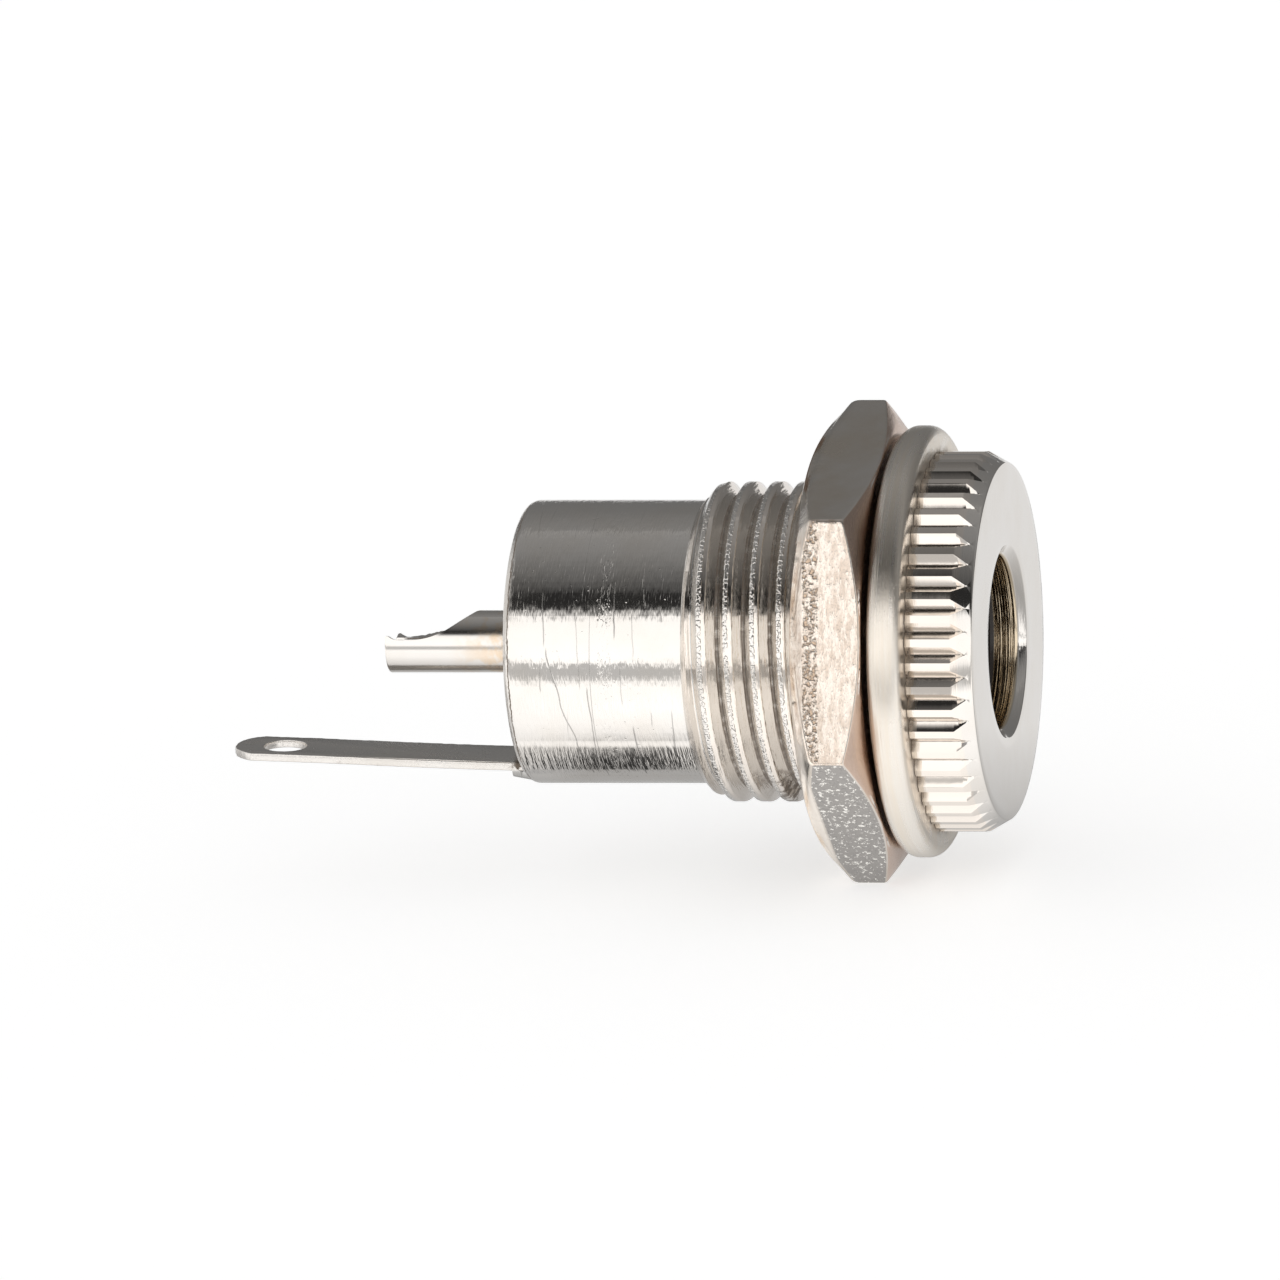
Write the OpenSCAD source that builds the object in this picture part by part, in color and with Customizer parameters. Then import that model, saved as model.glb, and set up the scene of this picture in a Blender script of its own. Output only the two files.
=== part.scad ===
// Panel-mount DC barrel jack.
// A turned shell carries a knurled flange, a fine thread and a smooth barrel. It holds a moulded
// insulator, a centre pin with a solder cup, and a sleeve spring whose tail is the ground tab.
// A washer and a hex nut are run up the thread against the flange.
//
// The jack's axis is X and the plug goes in from +X. The origin is on the axis, on the back face
// of the flange, where the panel sits. +Z is up and the ground tab is below the axis.

/* [Flange] */
// Diameter over the knurl
flange_d = 14; // [13.4:0.1:15.2]
// Thickness of the flange, from its front face to the panel seat
flange_t = 2.45; // [2:0.05:4]
// Diameter of the flat front face
face_d = 13.15; // [10:0.05:13.3]
// Length of the cone between the front face and the knurl
cone_h = 0.75; // [0.3:0.05:1]
// Number of grooves in the knurl
knurl_count = 50; // [24:1:56]
// Depth of a knurl groove
knurl_depth = 0.3; // [0.15:0.01:0.36]

/* [Mouth] */
// Diameter of the countersink at the front face
mouth_d = 7.15; // [6.6:0.05:9]
// Depth of the countersink
mouth_depth = 0.35; // [0.1:0.05:0.6]
// Diameter of the bore that guides the plug
bore_d = 6.4; // [6.2:0.05:6.5]
// Depth of the shoulder that stops the insulator, from the front face
shoulder_depth = 1.17; // [0.9:0.01:1.6]

/* [Thread] */
// Outside diameter of the thread
thread_d = 11.8; // [11.6:0.05:12.6]
// Distance from one turn of the thread to the next
thread_pitch = 1; // [0.75:0.05:1.25]
// Depth of the thread
thread_depth = 0.5; // [0.4:0.01:0.51]
// Width of the flat on a crest
crest_flat = 0.34; // [0.1:0.01:0.35]
// Length of the thread, from the panel seat to the barrel
thread_len = 8.75; // [7:0.05:12]
// Length of the chamfer at the thread's back end
runout_len = 0.6; // [0.3:0.05:1]
// Angle by which the thread's start is turned about the axis
thread_turn = 110; // [0:5:355]

/* [Barrel] */
// Diameter of the smooth barrel
barrel_d = 10.45; // [10.3:0.01:10.5]
// Length of the smooth barrel
barrel_len = 6.75; // [4:0.05:12]
// Thickness of the barrel's wall round the insulator
wall_t = 0.4; // [0.35:0.01:0.5]
// Radius of the turned-over back edge
rim_r = 0.4; // [0.15:0.05:0.45]
// Width of the turned-over edge that holds the insulator in
lip_w = 0.4; // [0.2:0.05:0.7]
// Thickness of the turned-over edge
lip_t = 0.35; // [0.2:0.05:0.6]
// Length of the staking tongue under the ground tab
tongue_len = 0.75; // [0.4:0.05:1.5]
// Distance by which the tongue's end is bent in towards the axis
tongue_bend = 0.22; // [0.05:0.01:0.3]

/* [Insulator] */
// Diameter of the plug socket in the insulator
socket_d = 6; // [5.8:0.05:6.1]
// Chamfer at the socket's front edge
socket_chamfer = 0.12; // [0.05:0.01:0.2]
// Depth of the socket, from the front face
socket_depth = 10.5; // [9:0.1:12]

/* [Centre pin] */
// Diameter of the pin that the plug slides over
pin_d = 2.1; // [1.9:0.05:2.6]
// Distance of the pin's tip behind the front face
pin_recess = 1.9; // [1.3:0.1:3]
// Diameter of the pin's root, inside the insulator
pin_root_d = 2.6; // [2.5:0.05:3]
// Diameter of the collar held in the insulator
collar_d = 3.4; // [3.2:0.1:4.5]
// Length of the collar
collar_len = 1.6; // [1:0.1:2.5]
// Distance of the collar behind the socket's floor
collar_inset = 1.4; // [0.8:0.1:1.6]
// Diameter of the tail
tail_d = 2.3; // [2.1:0.05:2.5]
// Length of the tail behind the barrel
tail_len = 5.3; // [4.8:0.1:8]
// Diameter of the solder cup's bore
cup_d = 1.5; // [1.2:0.05:1.6]
// Depth of the solder cup's bore
cup_depth = 4.6; // [4.2:0.1:4.7]
// Height of the cup's cut edge above the axis
cut_height = 0.1; // [0:0.05:0.3]
// Length of the level part of the cut
cut_level = 0.9; // [0.5:0.1:1.2]
// Radius of the curve that the cutter leaves
cut_r = 2.8; // [2:0.1:3.2]
// Slope of the cut where it leaves the tail
cut_slope = 33.5; // [30:0.5:45]
// Angle by which the cut is turned about the axis
cut_turn = 12; // [-20:1:20]

/* [Sleeve spring] */
// Thickness of the strip
strip_t = 0.3; // [0.2:0.01:0.35]
// Width of the strip
strip_w = 2.4; // [2:0.05:2.5]
// Length of the ground tab behind the barrel
tab_len = 11.43; // [8:0.1:16]
// Rise of the tab towards its tip, in degrees
tab_rise = 2; // [0:0.5:4]
// Radius of the tab's rounded tip
tip_r = 1.3; // [1.27:0.01:1.6]
// Diameter of the hole in the tab
eye_d = 1.6; // [1:0.05:1.7]
// Distance of that hole from the tab's tip
eye_inset = 1.85; // [1.5:0.05:3]
// Radius at which the spring's bow meets the plug
bow_r = 2.65; // [2.3:0.01:2.8]
// Length of the spring, from its free end to where it meets the groove
spring_len = 5.8; // [4:0.1:6.2]
// Distance of the spring's free end behind the front face
spring_inset = 3.9; // [3:0.1:4.2]
// Distance of the bow behind the free end
bow_inset = 1.75; // [1.2:0.05:2.4]
// Distance of the free end outside the socket's wall
spring_flare = 0.1; // [0:0.05:0.3]

/* [Washer] */
// Outside diameter of the washer
washer_d = 15.9; // [15:0.1:18]
// Thickness of the washer
washer_t = 1.3; // [1:0.05:1.6]
// Radius of the washer's rounded edges
washer_edge_r = 0.5; // [0.2:0.05:0.5]

/* [Nut] */
// Distance that the nut is left standing off the washer
nut_gap = 0.15; // [0:0.05:0.5]
// Width of the nut across its flats
nut_af = 15.45; // [14:0.05:18]
// Thickness of the nut
nut_t = 2.7; // [2:0.1:3]
// Diameter of the round face that the chamfer leaves
nut_face_d = 15.3; // [13.5:0.1:15.4]
// Angle of the chamfer on the nut's corners
nut_chamfer = 27; // [15:1:35]
// Angle by which the nut is turned about the axis
nut_turn = 14.6; // [0:0.1:60]

/* [Fits] */
// Clearance between the insulator and the pieces that it holds
seat_gap = 0.02; // [0.01:0.01:0.04]
// Clearance between the nut's thread and the shell's
thread_gap = 0.05; // [0.03:0.01:0.08]
// Radial clearance of the washer over the thread
washer_gap = 0.15; // [0.05:0.05:0.3]
// Clearance between the strip's edges and the barrel's wall
strip_gap = 0.03; // [0.02:0.01:0.06]

/* [Hidden] */
$fn = 96;
thread_sides = 36;
rim_steps = 5;
tip_steps = 8;
bow_steps = 10;
// Half the angle between the thread's flanks
flank_angle = 30;
// How far a cutter passes the surface that it cuts
over = 0.5;

// Places along the axis, measured from the flange's back face
front_x = flange_t;
back_x = -thread_len - barrel_len;
shoulder_x = front_x - shoulder_depth;
lip_x = back_x + lip_t;
floor_x = front_x - socket_depth;
collar_x = floor_x - collar_inset;
pin_tip_x = front_x - pin_recess;
tail_x = back_x - tail_len;

// The thread's section; its groove ends three quarters of a turn short of the flange
thread_r = thread_d / 2;
root_r = thread_r - thread_depth;
flank_w = thread_depth * tan(flank_angle);
root_flat = thread_pitch - crest_flat - 2 * flank_w;
thread_start_x = -0.75 * thread_pitch;

// The room inside the barrel, and the height at which the strip lies in it
cavity_r = barrel_d / 2 - wall_t;
lip_r = cavity_r - lip_w;
strip_z = strip_t / 2 - sqrt(pow(cavity_r - strip_gap, 2) - pow(strip_w / 2, 2));
slot_w = strip_w + 2 * seat_gap;
// The spring's tip, its root and the top of its bow
spring_tip_x = front_x - spring_inset;
spring_root_x = spring_tip_x - spring_len;
bow_x = spring_tip_x - bow_inset;
bow_z = -bow_r - strip_t / 2;
spring_tip_z = -socket_d / 2 - strip_t / 2 - spring_flare;
tab_end_x = back_x - tab_len;

// Turns a shape made along +Z so that it lies along the jack's axis, +X.
module along_axis() {
    rotate([0, 90, 0]) children();
}

// A cylinder on the jack's axis, between two places on it.
module axis_cylinder(r, x_low, x_high) {
    along_axis() translate([0, 0, x_low]) cylinder(r = r, h = x_high - x_low);
}

// Points along an arc, for a profile.
function arc(centre, r, from, to, steps) =
    [for (i = [0:steps]) let (a = from + (to - from) * i / steps) centre + r * [cos(a), sin(a)]];

// A bar of tapered section wound right-handed about +Z. Its section is w_in wide at r_in and
// w_out wide at r_out, and its middle is at height z_low at the start angle.
module helix_bar(r_in, w_in, r_out, w_out, z_low, turns, start) {
    corners = [[r_in, -w_in / 2], [r_in, w_in / 2], [r_out, w_out / 2], [r_out, -w_out / 2]];
    steps = ceil(turns * thread_sides);
    points = [for (i = [0:steps]) let (a = start + i * 360 / thread_sides) for (c = corners)
        [c.x * cos(a), c.x * sin(a), c.y + z_low + i * thread_pitch / thread_sides]];
    sides = [for (i = [0:steps - 1]) for (k = [0:3]) let (m = (k + 1) % 4)
        for (f = [[4 * i + k, 4 * i + 4 + k, 4 * i + 4 + m], [4 * i + k, 4 * i + 4 + m, 4 * i + m]]) f];
    polyhedron(points, concat(sides, [[0, 1, 2, 3], [for (k = [3:-1:0]) 4 * steps + k]]));
}

// The space between the turns of the thread, made smaller all round by a clearance.
module thread_space(x_low, x_high, gap) {
    r_out = thread_r + over;
    r_in = root_r + gap;
    w_in = root_flat + 2 * (gap - gap / cos(flank_angle)) * tan(flank_angle);
    w_out = w_in + 2 * (r_out - r_in) * tan(flank_angle);
    first = thread_start_x + ceil((x_low - thread_start_x) / thread_pitch) * thread_pitch;
    turns = round((x_high - first) / thread_pitch);
    along_axis() helix_bar(r_in, w_in, r_out, w_out, first, turns, thread_turn);
}

// The V-grooves of the flange's straight knurl, from the seat out through the front cone.
module knurl_grooves() {
    root = flange_d / 2 - knurl_depth;
    top = flange_d / 2 + knurl_depth;
    half_w = top - root;
    along_axis()
        for (i = [0:knurl_count - 1])
            rotate([0, 0, i * 360 / knurl_count])
                translate([0, 0, -over])
                    linear_extrude(height = flange_t + 2 * over)
                        polygon([[root, 0], [top, -half_w], [top, half_w]]);
}

// The tongue of the shell that is left standing under the tab and pressed against it.
module staking_tongue() {
    end_x = back_x - tongue_len;
    intersection() {
        along_axis()
            rotate_extrude()
                polygon([
                    [lip_r, end_x],
                    [barrel_d / 2 - tongue_bend, end_x],
                    [barrel_d / 2, lip_x],
                    [lip_r, lip_x]
                ]);
        translate([end_x, -strip_w / 2, -barrel_d])
            cube([tongue_len + lip_t, strip_w, barrel_d + strip_z - strip_t / 2]);
    }
}

module shell() {
    color("gainsboro")
        difference() {
            union() {
                along_axis()
                    rotate_extrude()
                        polygon(concat(
                            [
                                [mouth_d / 2, front_x],
                                [bore_d / 2, front_x - mouth_depth],
                                [bore_d / 2, shoulder_x],
                                [cavity_r, shoulder_x],
                                [cavity_r, lip_x],
                                [lip_r, lip_x],
                                [lip_r, back_x]
                            ],
                            arc([barrel_d / 2 - rim_r, back_x + rim_r], rim_r, 270, 360, rim_steps),
                            [
                                [barrel_d / 2, -thread_len],
                                [thread_r, runout_len - thread_len],
                                [thread_r, 0],
                                [flange_d / 2, 0],
                                [flange_d / 2, front_x - cone_h],
                                [face_d / 2, front_x]
                            ]
                        ));
                staking_tongue();
            }
            knurl_grooves();
            thread_space(-thread_len - thread_pitch, thread_start_x, 0);
            tab_notch();
        }
}

// The opening in the turned-over edge that lets the tab out.
module tab_notch() {
    translate([back_x - over, -slot_w / 2, strip_z - strip_t / 2])
        cube([lip_t + over, slot_w, lip_r / 2]);
}

// The outline of the centre pin, with a radial gap round it. Its collar's faces stay where they are.
function pin_outline(gap) =
    concat(
        [
            [0, tail_x],
            [tail_d / 2 + gap, tail_x],
            [tail_d / 2 + gap, collar_x - collar_len],
            [collar_d / 2 + gap, collar_x - collar_len],
            [collar_d / 2 + gap, collar_x],
            [pin_root_d / 2 + gap, collar_x],
            [pin_root_d / 2 + gap, floor_x],
            [pin_d / 2, floor_x]
        ],
        arc([0, pin_tip_x - pin_d / 2], pin_d / 2, 0, 90, tip_steps)
    );

module insulator() {
    color("#2b2421")
        difference() {
            axis_cylinder(cavity_r - seat_gap, lip_x, shoulder_x);
            axis_cylinder(socket_d / 2, floor_x, shoulder_x + over);
            along_axis()
                translate([0, 0, shoulder_x - socket_chamfer])
                    cylinder(
                        r1 = socket_d / 2,
                        r2 = socket_d / 2 + 2 * socket_chamfer,
                        h = 2 * socket_chamfer
                    );
            along_axis() rotate_extrude() polygon(pin_outline(seat_gap));
            // window for the spring
            translate([spring_root_x - strip_t, -slot_w / 2, -barrel_d])
                cube([spring_len + 4 * strip_t, slot_w, barrel_d]);
            // groove for its tail
            translate([lip_x - over, -slot_w / 2, -barrel_d])
                cube([spring_root_x - lip_x + over, slot_w, barrel_d + strip_z + strip_t / 2]);
        }
}

// The part of the tail that is cut away, above a level edge that curves up and out.
module cup_cut() {
    bend = [tail_x + cut_level, cut_height + cut_r];
    rise = arc(bend, cut_r, 270, 270 + cut_slope, tip_steps);
    last = rise[len(rise) - 1];
    top = tail_d;
    rotate([90 - cut_turn, 0, 0])
        linear_extrude(height = 2 * tail_d, center = true)
            polygon(concat(
                [[tail_x - over, top], [tail_x - over, cut_height]],
                rise,
                [[last.x + (top - last.y) / tan(cut_slope), top]]
            ));
}

module centre_pin() {
    color("silver")
        difference() {
            along_axis() rotate_extrude() polygon(pin_outline(0));
            axis_cylinder(cup_d / 2, tail_x - over, tail_x + cup_depth);
            cup_cut();
        }
}

// Height of the spring's middle line at a place along the axis.
function spring_z(x) =
    x > bow_x
        ? bow_z + (spring_tip_z - bow_z) * (1 - cos(90 * (x - bow_x) / (spring_tip_x - bow_x)))
        : bow_z + (strip_z - bow_z) * (1 - cos(180 * (bow_x - x) / (bow_x - spring_root_x))) / 2;

// A point of the spring's face, a signed distance from its middle line.
function spring_point(x, side) =
    let (d = 0.01, slope = atan((spring_z(x + d) - spring_z(x - d)) / (2 * d)))
        [x - side * sin(slope), spring_z(x) + side * cos(slope)];

module sleeve_contact() {
    half_t = strip_t / 2;
    drop = tan(tab_rise);
    spring_x = [for (i = [0:2 * bow_steps])
        spring_tip_x + (spring_root_x - spring_tip_x) * i / (2 * bow_steps)];
    tab_top = [for (side = [half_t, -half_t])
        [[back_x, strip_z + side], [tab_end_x, strip_z + side + tab_len * drop]]];
    upper = concat([for (x = spring_x) spring_point(x, half_t)], tab_top[0]);
    lower = concat([for (x = spring_x) spring_point(x, -half_t)], tab_top[1]);
    color("#c9c3b8")
        difference() {
            rotate([90, 0, 0])
                linear_extrude(height = strip_w, center = true)
                    polygon(concat(upper, [for (i = [len(lower) - 1:-1:0]) lower[i]]));
            translate([back_x, 0, strip_z])
                rotate([0, tab_rise, 0])
                    translate([0, 0, -strip_w])
                        linear_extrude(height = 2 * strip_w)
                            tab_cuts();
        }
}

// What is cut from the flat tab: all that is outside its rounded tip, and the hole.
module tab_cuts() {
    difference() {
        translate([-tab_len - over, -strip_w])
            square([tip_r + over, 2 * strip_w]);
        translate([tip_r - tab_len, 0])
            circle(r = tip_r);
    }
    translate([eye_inset - tab_len, 0])
        circle(d = eye_d);
}

module washer() {
    hole_r = thread_r + washer_gap;
    edge = washer_d / 2 - washer_edge_r;
    color("#b9b4ac")
        along_axis()
            rotate_extrude()
                polygon(concat(
                    [[hole_r, 0], [hole_r, -washer_t]],
                    arc([edge, washer_edge_r - washer_t], washer_edge_r, 270, 360, rim_steps),
                    arc([edge, -washer_edge_r], washer_edge_r, 0, 90, rim_steps)
                ));
}

module hex_nut() {
    front = -washer_t - nut_gap;
    back = front - nut_t;
    corner_r = nut_af / sqrt(3);
    rim = nut_face_d / 2;
    cone = (corner_r - rim + over) * tan(nut_chamfer);
    color("#a39b91")
        difference() {
            intersection() {
                along_axis()
                    translate([0, 0, back])
                        rotate([0, 0, -nut_turn])
                            cylinder(r = corner_r, h = nut_t, $fn = 6);
                along_axis()
                    rotate_extrude()
                        polygon([
                            [0, back],
                            [rim, back],
                            [corner_r + over, back + cone],
                            [corner_r + over, front - cone],
                            [rim, front],
                            [0, front]
                        ]);
            }
            difference() {
                axis_cylinder(thread_r + thread_gap, back - over, front + over);
                thread_space(back - thread_pitch, front + thread_pitch, thread_gap);
            }
        }
}

shell();
insulator();
centre_pin();
sleeve_contact();
washer();
hex_nut();
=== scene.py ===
import math

import bmesh
import bpy
import numpy as np
from bpy.props import FloatProperty, FloatVectorProperty, IntProperty, PointerProperty
from mathutils import Matrix, Vector, noise


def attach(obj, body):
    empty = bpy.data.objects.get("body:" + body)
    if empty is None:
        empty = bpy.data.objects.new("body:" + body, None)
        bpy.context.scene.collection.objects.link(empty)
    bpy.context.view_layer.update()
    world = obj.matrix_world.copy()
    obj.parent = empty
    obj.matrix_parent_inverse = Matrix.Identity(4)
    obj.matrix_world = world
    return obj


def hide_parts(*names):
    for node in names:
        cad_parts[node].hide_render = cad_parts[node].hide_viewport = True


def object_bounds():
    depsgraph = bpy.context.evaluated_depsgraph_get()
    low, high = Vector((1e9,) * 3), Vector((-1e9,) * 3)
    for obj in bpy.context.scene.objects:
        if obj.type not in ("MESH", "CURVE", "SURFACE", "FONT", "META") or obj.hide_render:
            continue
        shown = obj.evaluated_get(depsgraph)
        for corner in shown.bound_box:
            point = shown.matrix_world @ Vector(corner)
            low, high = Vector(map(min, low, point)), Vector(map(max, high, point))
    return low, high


bl_info = {
    "name": "Panel power jack",
    "version": (1, 0, 0),
    "blender": (4, 5, 0),
    "location": "3D View > Sidebar > Power Jack",
    "description": "Dresses a panel-mount DC power jack and sets up a plain studio round it",
    "category": "Object",
}

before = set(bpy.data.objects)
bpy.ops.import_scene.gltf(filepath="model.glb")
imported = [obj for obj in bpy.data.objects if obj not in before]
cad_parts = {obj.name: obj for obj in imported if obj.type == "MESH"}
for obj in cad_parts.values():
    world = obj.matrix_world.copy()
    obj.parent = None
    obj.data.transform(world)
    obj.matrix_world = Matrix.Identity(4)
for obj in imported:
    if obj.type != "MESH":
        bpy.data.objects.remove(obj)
CAD_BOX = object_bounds()

MM = 0.001
TAU = 2 * math.pi


# ---------------------------------------------------------------- properties


def length(name, description, millimetres):
    """A length property, kept in metres."""
    return FloatProperty(
        name=name, description=description, default=millimetres * MM, min=0.0, max=4 * millimetres * MM,
        subtype="DISTANCE", unit="LENGTH", precision=5,
    )


def station(name, description, millimetres):
    """A place on the jack's axis, kept in metres."""
    return FloatProperty(
        name=name, description=description, default=millimetres * MM, unit="LENGTH", precision=5)


def angle(name, description, degrees):
    """An angle property, kept in radians."""
    return FloatProperty(
        name=name, description=description, default=math.radians(degrees), subtype="ANGLE", unit="ROTATION")


def colour(name, description, default):
    """A colour property, in linear light."""
    return FloatVectorProperty(
        name=name, description=description, default=default, min=0.0, max=1.0, size=3, subtype="COLOR",
    )


class JackSizes(bpy.types.PropertyGroup):
    """Sizes that the CAD boxes don't give."""

    # shell
    flange_d: length("Flange diameter", "Diameter over the knurl", 14.0)
    flange_t: length("Flange thickness", "From the seat to the front face", 2.45)
    face_d: length("Face diameter", "Diameter of the flat front face", 13.15)
    cone_h: length("Cone height", "Length of the cone from the knurl to the face", 0.75)
    knurl_count: IntProperty(name="Knurl grooves", description="Grooves round the flange", default=50,
                             min=24, max=56)
    knurl_depth: length("Knurl depth", "Depth of a knurl groove", 0.3)
    mouth_d: length("Mouth diameter", "Diameter of the chamfer round the mouth", 7.15)
    mouth_depth: length("Mouth depth", "Depth of the chamfer round the mouth", 0.35)
    bore_d: length("Bore diameter", "Diameter of the metal land in the mouth", 6.4)
    shoulder_depth: length("Shoulder depth", "From the front face to the insulator", 1.17)
    thread_d: length("Thread diameter", "Diameter over the thread's crests", 11.8)
    thread_pitch: length("Thread pitch", "Distance from one turn of the thread to the next", 1.0)
    thread_depth: length("Thread depth", "Depth of the thread", 0.5)
    crest_flat: length("Crest flat", "Width of the thread's flat crest", 0.34)
    crest_x: station("Crest place", "Place on the axis of one crest at the top of the jack", -7.056)
    thread_len: length("Thread length", "From the seat to the thread's end", 8.75)
    runout: length("Run-out", "Length of the cone at the thread's end", 0.6)
    barrel_d: length("Barrel diameter", "Diameter of the smooth barrel", 10.45)
    barrel_len: length("Barrel length", "Length of the smooth barrel", 6.75)
    wall_t: length("Wall", "Thickness of the barrel's wall", 0.4)
    rim_r: length("Rim radius", "Radius of the barrel's turned-over edge", 0.4)
    lip_t: length("Lip thickness", "Thickness of the turned-over edge", 0.35)
    lip_w: length("Lip width", "Width of the turned-over edge", 0.4)
    tongue_len: length("Tongue length", "Length of the tongue under the tab", 0.75)
    # washer and nut
    washer_d: length("Washer diameter", "Outside diameter of the washer", 15.9)
    washer_t: length("Washer thickness", "Thickness of the washer", 1.3)
    washer_edge: length("Washer edge", "Radius of the washer's rounded edges", 0.5)
    nut_af: length("Nut across flats", "Size of spanner that fits the nut", 15.45)
    nut_gap: length("Nut gap", "Distance that the nut is left standing off the washer", 0.15)
    nut_t: length("Nut thickness", "Thickness of the nut", 2.7)
    nut_face_d: length("Nut face", "Diameter of the nut's flat faces", 15.3)
    nut_chamfer: angle("Nut chamfer", "Angle of the chamfer on the nut's corners", 27)
    nut_turn: angle("Nut turn", "Angle of one corner from the top", -14.6)
    # pin and contact
    pin_d: length("Pin diameter", "Diameter of the centre pin", 2.1)
    pin_recess: length("Pin recess", "From the front face to the pin's tip", 1.9)
    tail_d: length("Tail diameter", "Diameter of the pin's tail", 2.3)
    tail_len: length("Tail length", "How far the tail stands out of the barrel", 5.3)
    cup_d: length("Cup diameter", "Diameter of the solder cup", 1.5)
    cup_depth: length("Cup depth", "Depth of the solder cup", 4.6)
    cut_height: length("Cut height", "Height of the cup's cut edge over the axis", 0.1)
    cut_level: length("Cut level", "Length of the cut's level part", 0.9)
    cut_r: length("Cut radius", "Radius by which the cut turns up", 2.8)
    strip_t: length("Strip thickness", "Thickness of the contact's strip", 0.3)
    strip_w: length("Strip width", "Width of the contact's strip", 2.4)
    tab_len: length("Tab length", "How far the tab stands out of the barrel", 11.43)
    tip_r: length("Tip radius", "Radius of the tab's tip", 1.3)
    eye_d: length("Eye diameter", "Diameter of the tab's hole", 1.6)
    eye_inset: length("Eye inset", "From the tab's tip to the middle of its hole", 1.85)


class JackFinishes(bpy.types.PropertyGroup):
    """Colours of the platings and the plastic."""

    nickel: colour("Bright nickel", "Plating of the shell and the pin", (0.80, 0.765, 0.725))
    satin: colour("Satin nickel", "Plating of the washer", (0.80, 0.765, 0.715))
    rough: colour("Rough nickel", "Plating of the nut", (0.66, 0.62, 0.575))
    # brown used for dirt and for painted shade by the washer, at the seat and on the thread's underside
    dirt_and_shade: colour("Dirt", "Brown film in grooves and corners", (0.16, 0.105, 0.06))
    plastic: colour("Plastic", "Moulded insulator", (0.030, 0.022, 0.018))


class StudioSettings(bpy.types.PropertyGroup):
    """Camera's angles, distance and view."""

    azimuth: angle("Azimuth", "Camera's angle about the vertical", 12.84)
    elevation: angle("Elevation", "Camera's angle above the level", 14.6)
    distance: length("Camera distance", "From the camera to the jack", 1000.0)
    view_width: length("View width", "Width that the camera takes in at the jack", 47.2)
    middle_x: station("View centre", "Place on the jack's axis at the middle of the view", -11.4)


SETTINGS = (
    ("jack_sizes", JackSizes),
    ("jack_finishes", JackFinishes),
    ("jack_studio", StudioSettings),
)


# ---------------------------------------------------------------- mesh kit


def place(x, r, theta):
    """Points round the axis: theta runs from the top towards -Y."""
    x, r, theta = np.broadcast_arrays(x, r, theta)
    return np.stack((x, -r * np.sin(theta), r * np.cos(theta)), axis=-1)


def patch(rings):
    """A sheet of points from rings of equal length."""
    return np.stack([np.asarray(ring, dtype=float) for ring in rings])


def make_object(name, patches, weld=1e-7, sharp=32.0, wobble=None):
    """Join sheets of points into one welded mesh with outward normals."""
    points, faces, count = [], [], 0
    for sheet in patches:
        rows, columns = sheet.shape[:2]
        index = np.arange(rows * columns).reshape(rows, columns) + count
        quads = np.stack((index[:-1, :-1], index[:-1, 1:], index[1:, 1:], index[1:, :-1]), axis=-1)
        points.append(sheet.reshape(-1, 3))
        faces.append(quads.reshape(-1, 4))
        count += rows * columns
    points = np.concatenate(points)
    if wobble is not None:
        points = wobble(points)
    mesh = bpy.data.meshes.new(name)
    mesh.from_pydata(points.tolist(), [], np.concatenate(faces).tolist())
    return settle(name, mesh, weld, sharp)


def settle(name, mesh, weld=1e-7, sharp=32.0):
    """Weld a mesh, turn its faces outward, shade it smooth between sharp edges and link it."""
    work = bmesh.new()
    work.from_mesh(mesh)
    bmesh.ops.remove_doubles(work, verts=work.verts, dist=weld)
    loose = [vert for vert in work.verts if not vert.link_faces]
    bmesh.ops.delete(work, geom=loose, context="VERTS")
    bmesh.ops.recalc_face_normals(work, faces=work.faces)
    work.to_mesh(mesh)
    work.free()
    mesh.shade_smooth()
    mesh.set_sharp_from_angle(angle=math.radians(sharp))
    piece = bpy.data.objects.new(name, mesh)
    bpy.context.scene.collection.objects.link(piece)
    return piece


def join_meshes(name, pieces):
    """One object from several."""
    work = bmesh.new()
    for piece in pieces:
        work.from_mesh(piece.data)
    mesh = bpy.data.meshes.new(name)
    work.to_mesh(mesh)
    work.free()
    for piece in pieces:
        bpy.data.objects.remove(piece)
    joined = bpy.data.objects.new(name, mesh)
    bpy.context.scene.collection.objects.link(joined)
    return joined


def dress(piece, node, material):
    """Put a piece in the place of a CAD node and give it its look."""
    piece.data.materials.clear()
    piece.data.materials.append(material)
    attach(piece, "root")
    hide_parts(node)


def thread_radius(sizes, x, theta, gap=0.0):
    """Radius of the right-hand thread's surface at a place on the axis and an angle."""
    pitch = sizes.thread_pitch
    offset = (x - sizes.crest_x - pitch * theta / TAU) / pitch
    away = np.abs(offset - np.round(offset)) * pitch
    past = away - sizes.crest_flat / 2
    ease = 0.035 * MM
    rounded = np.clip(past + ease, 0.0, 2 * ease) ** 2 / (4 * ease)
    fall = np.where(past > ease, past, rounded) / math.tan(math.radians(30))
    return sizes.thread_d / 2 - np.clip(fall, 0.0, sizes.thread_depth) + gap


def wound_patch(sizes, theta, low, high, radius):
    """A sheet whose rings follow the thread's helix, held between two places on the axis."""
    pitch = sizes.thread_pitch
    half = sizes.crest_flat / 2
    foot = half + sizes.thread_depth * math.tan(math.radians(30))
    ease = 0.035 * MM
    marks = [half - ease, half, half + ease, (half + foot) / 2, foot - 0.3 * ease, foot + 0.3 * ease]
    phases = np.array(sorted([-mark for mark in marks] + marks))
    first = math.floor((low - sizes.crest_x) / pitch) - 2
    last = math.ceil((high - sizes.crest_x) / pitch) + 2
    rings = []
    for turn in range(first, last):
        for phase in phases:
            x = np.clip(sizes.crest_x + (turn * pitch) + phase + pitch * theta / TAU, low, high)
            rings.append(place(x, radius(x, theta), theta))
    return patch(rings)


# ---------------------------------------------------------------- materials


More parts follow.
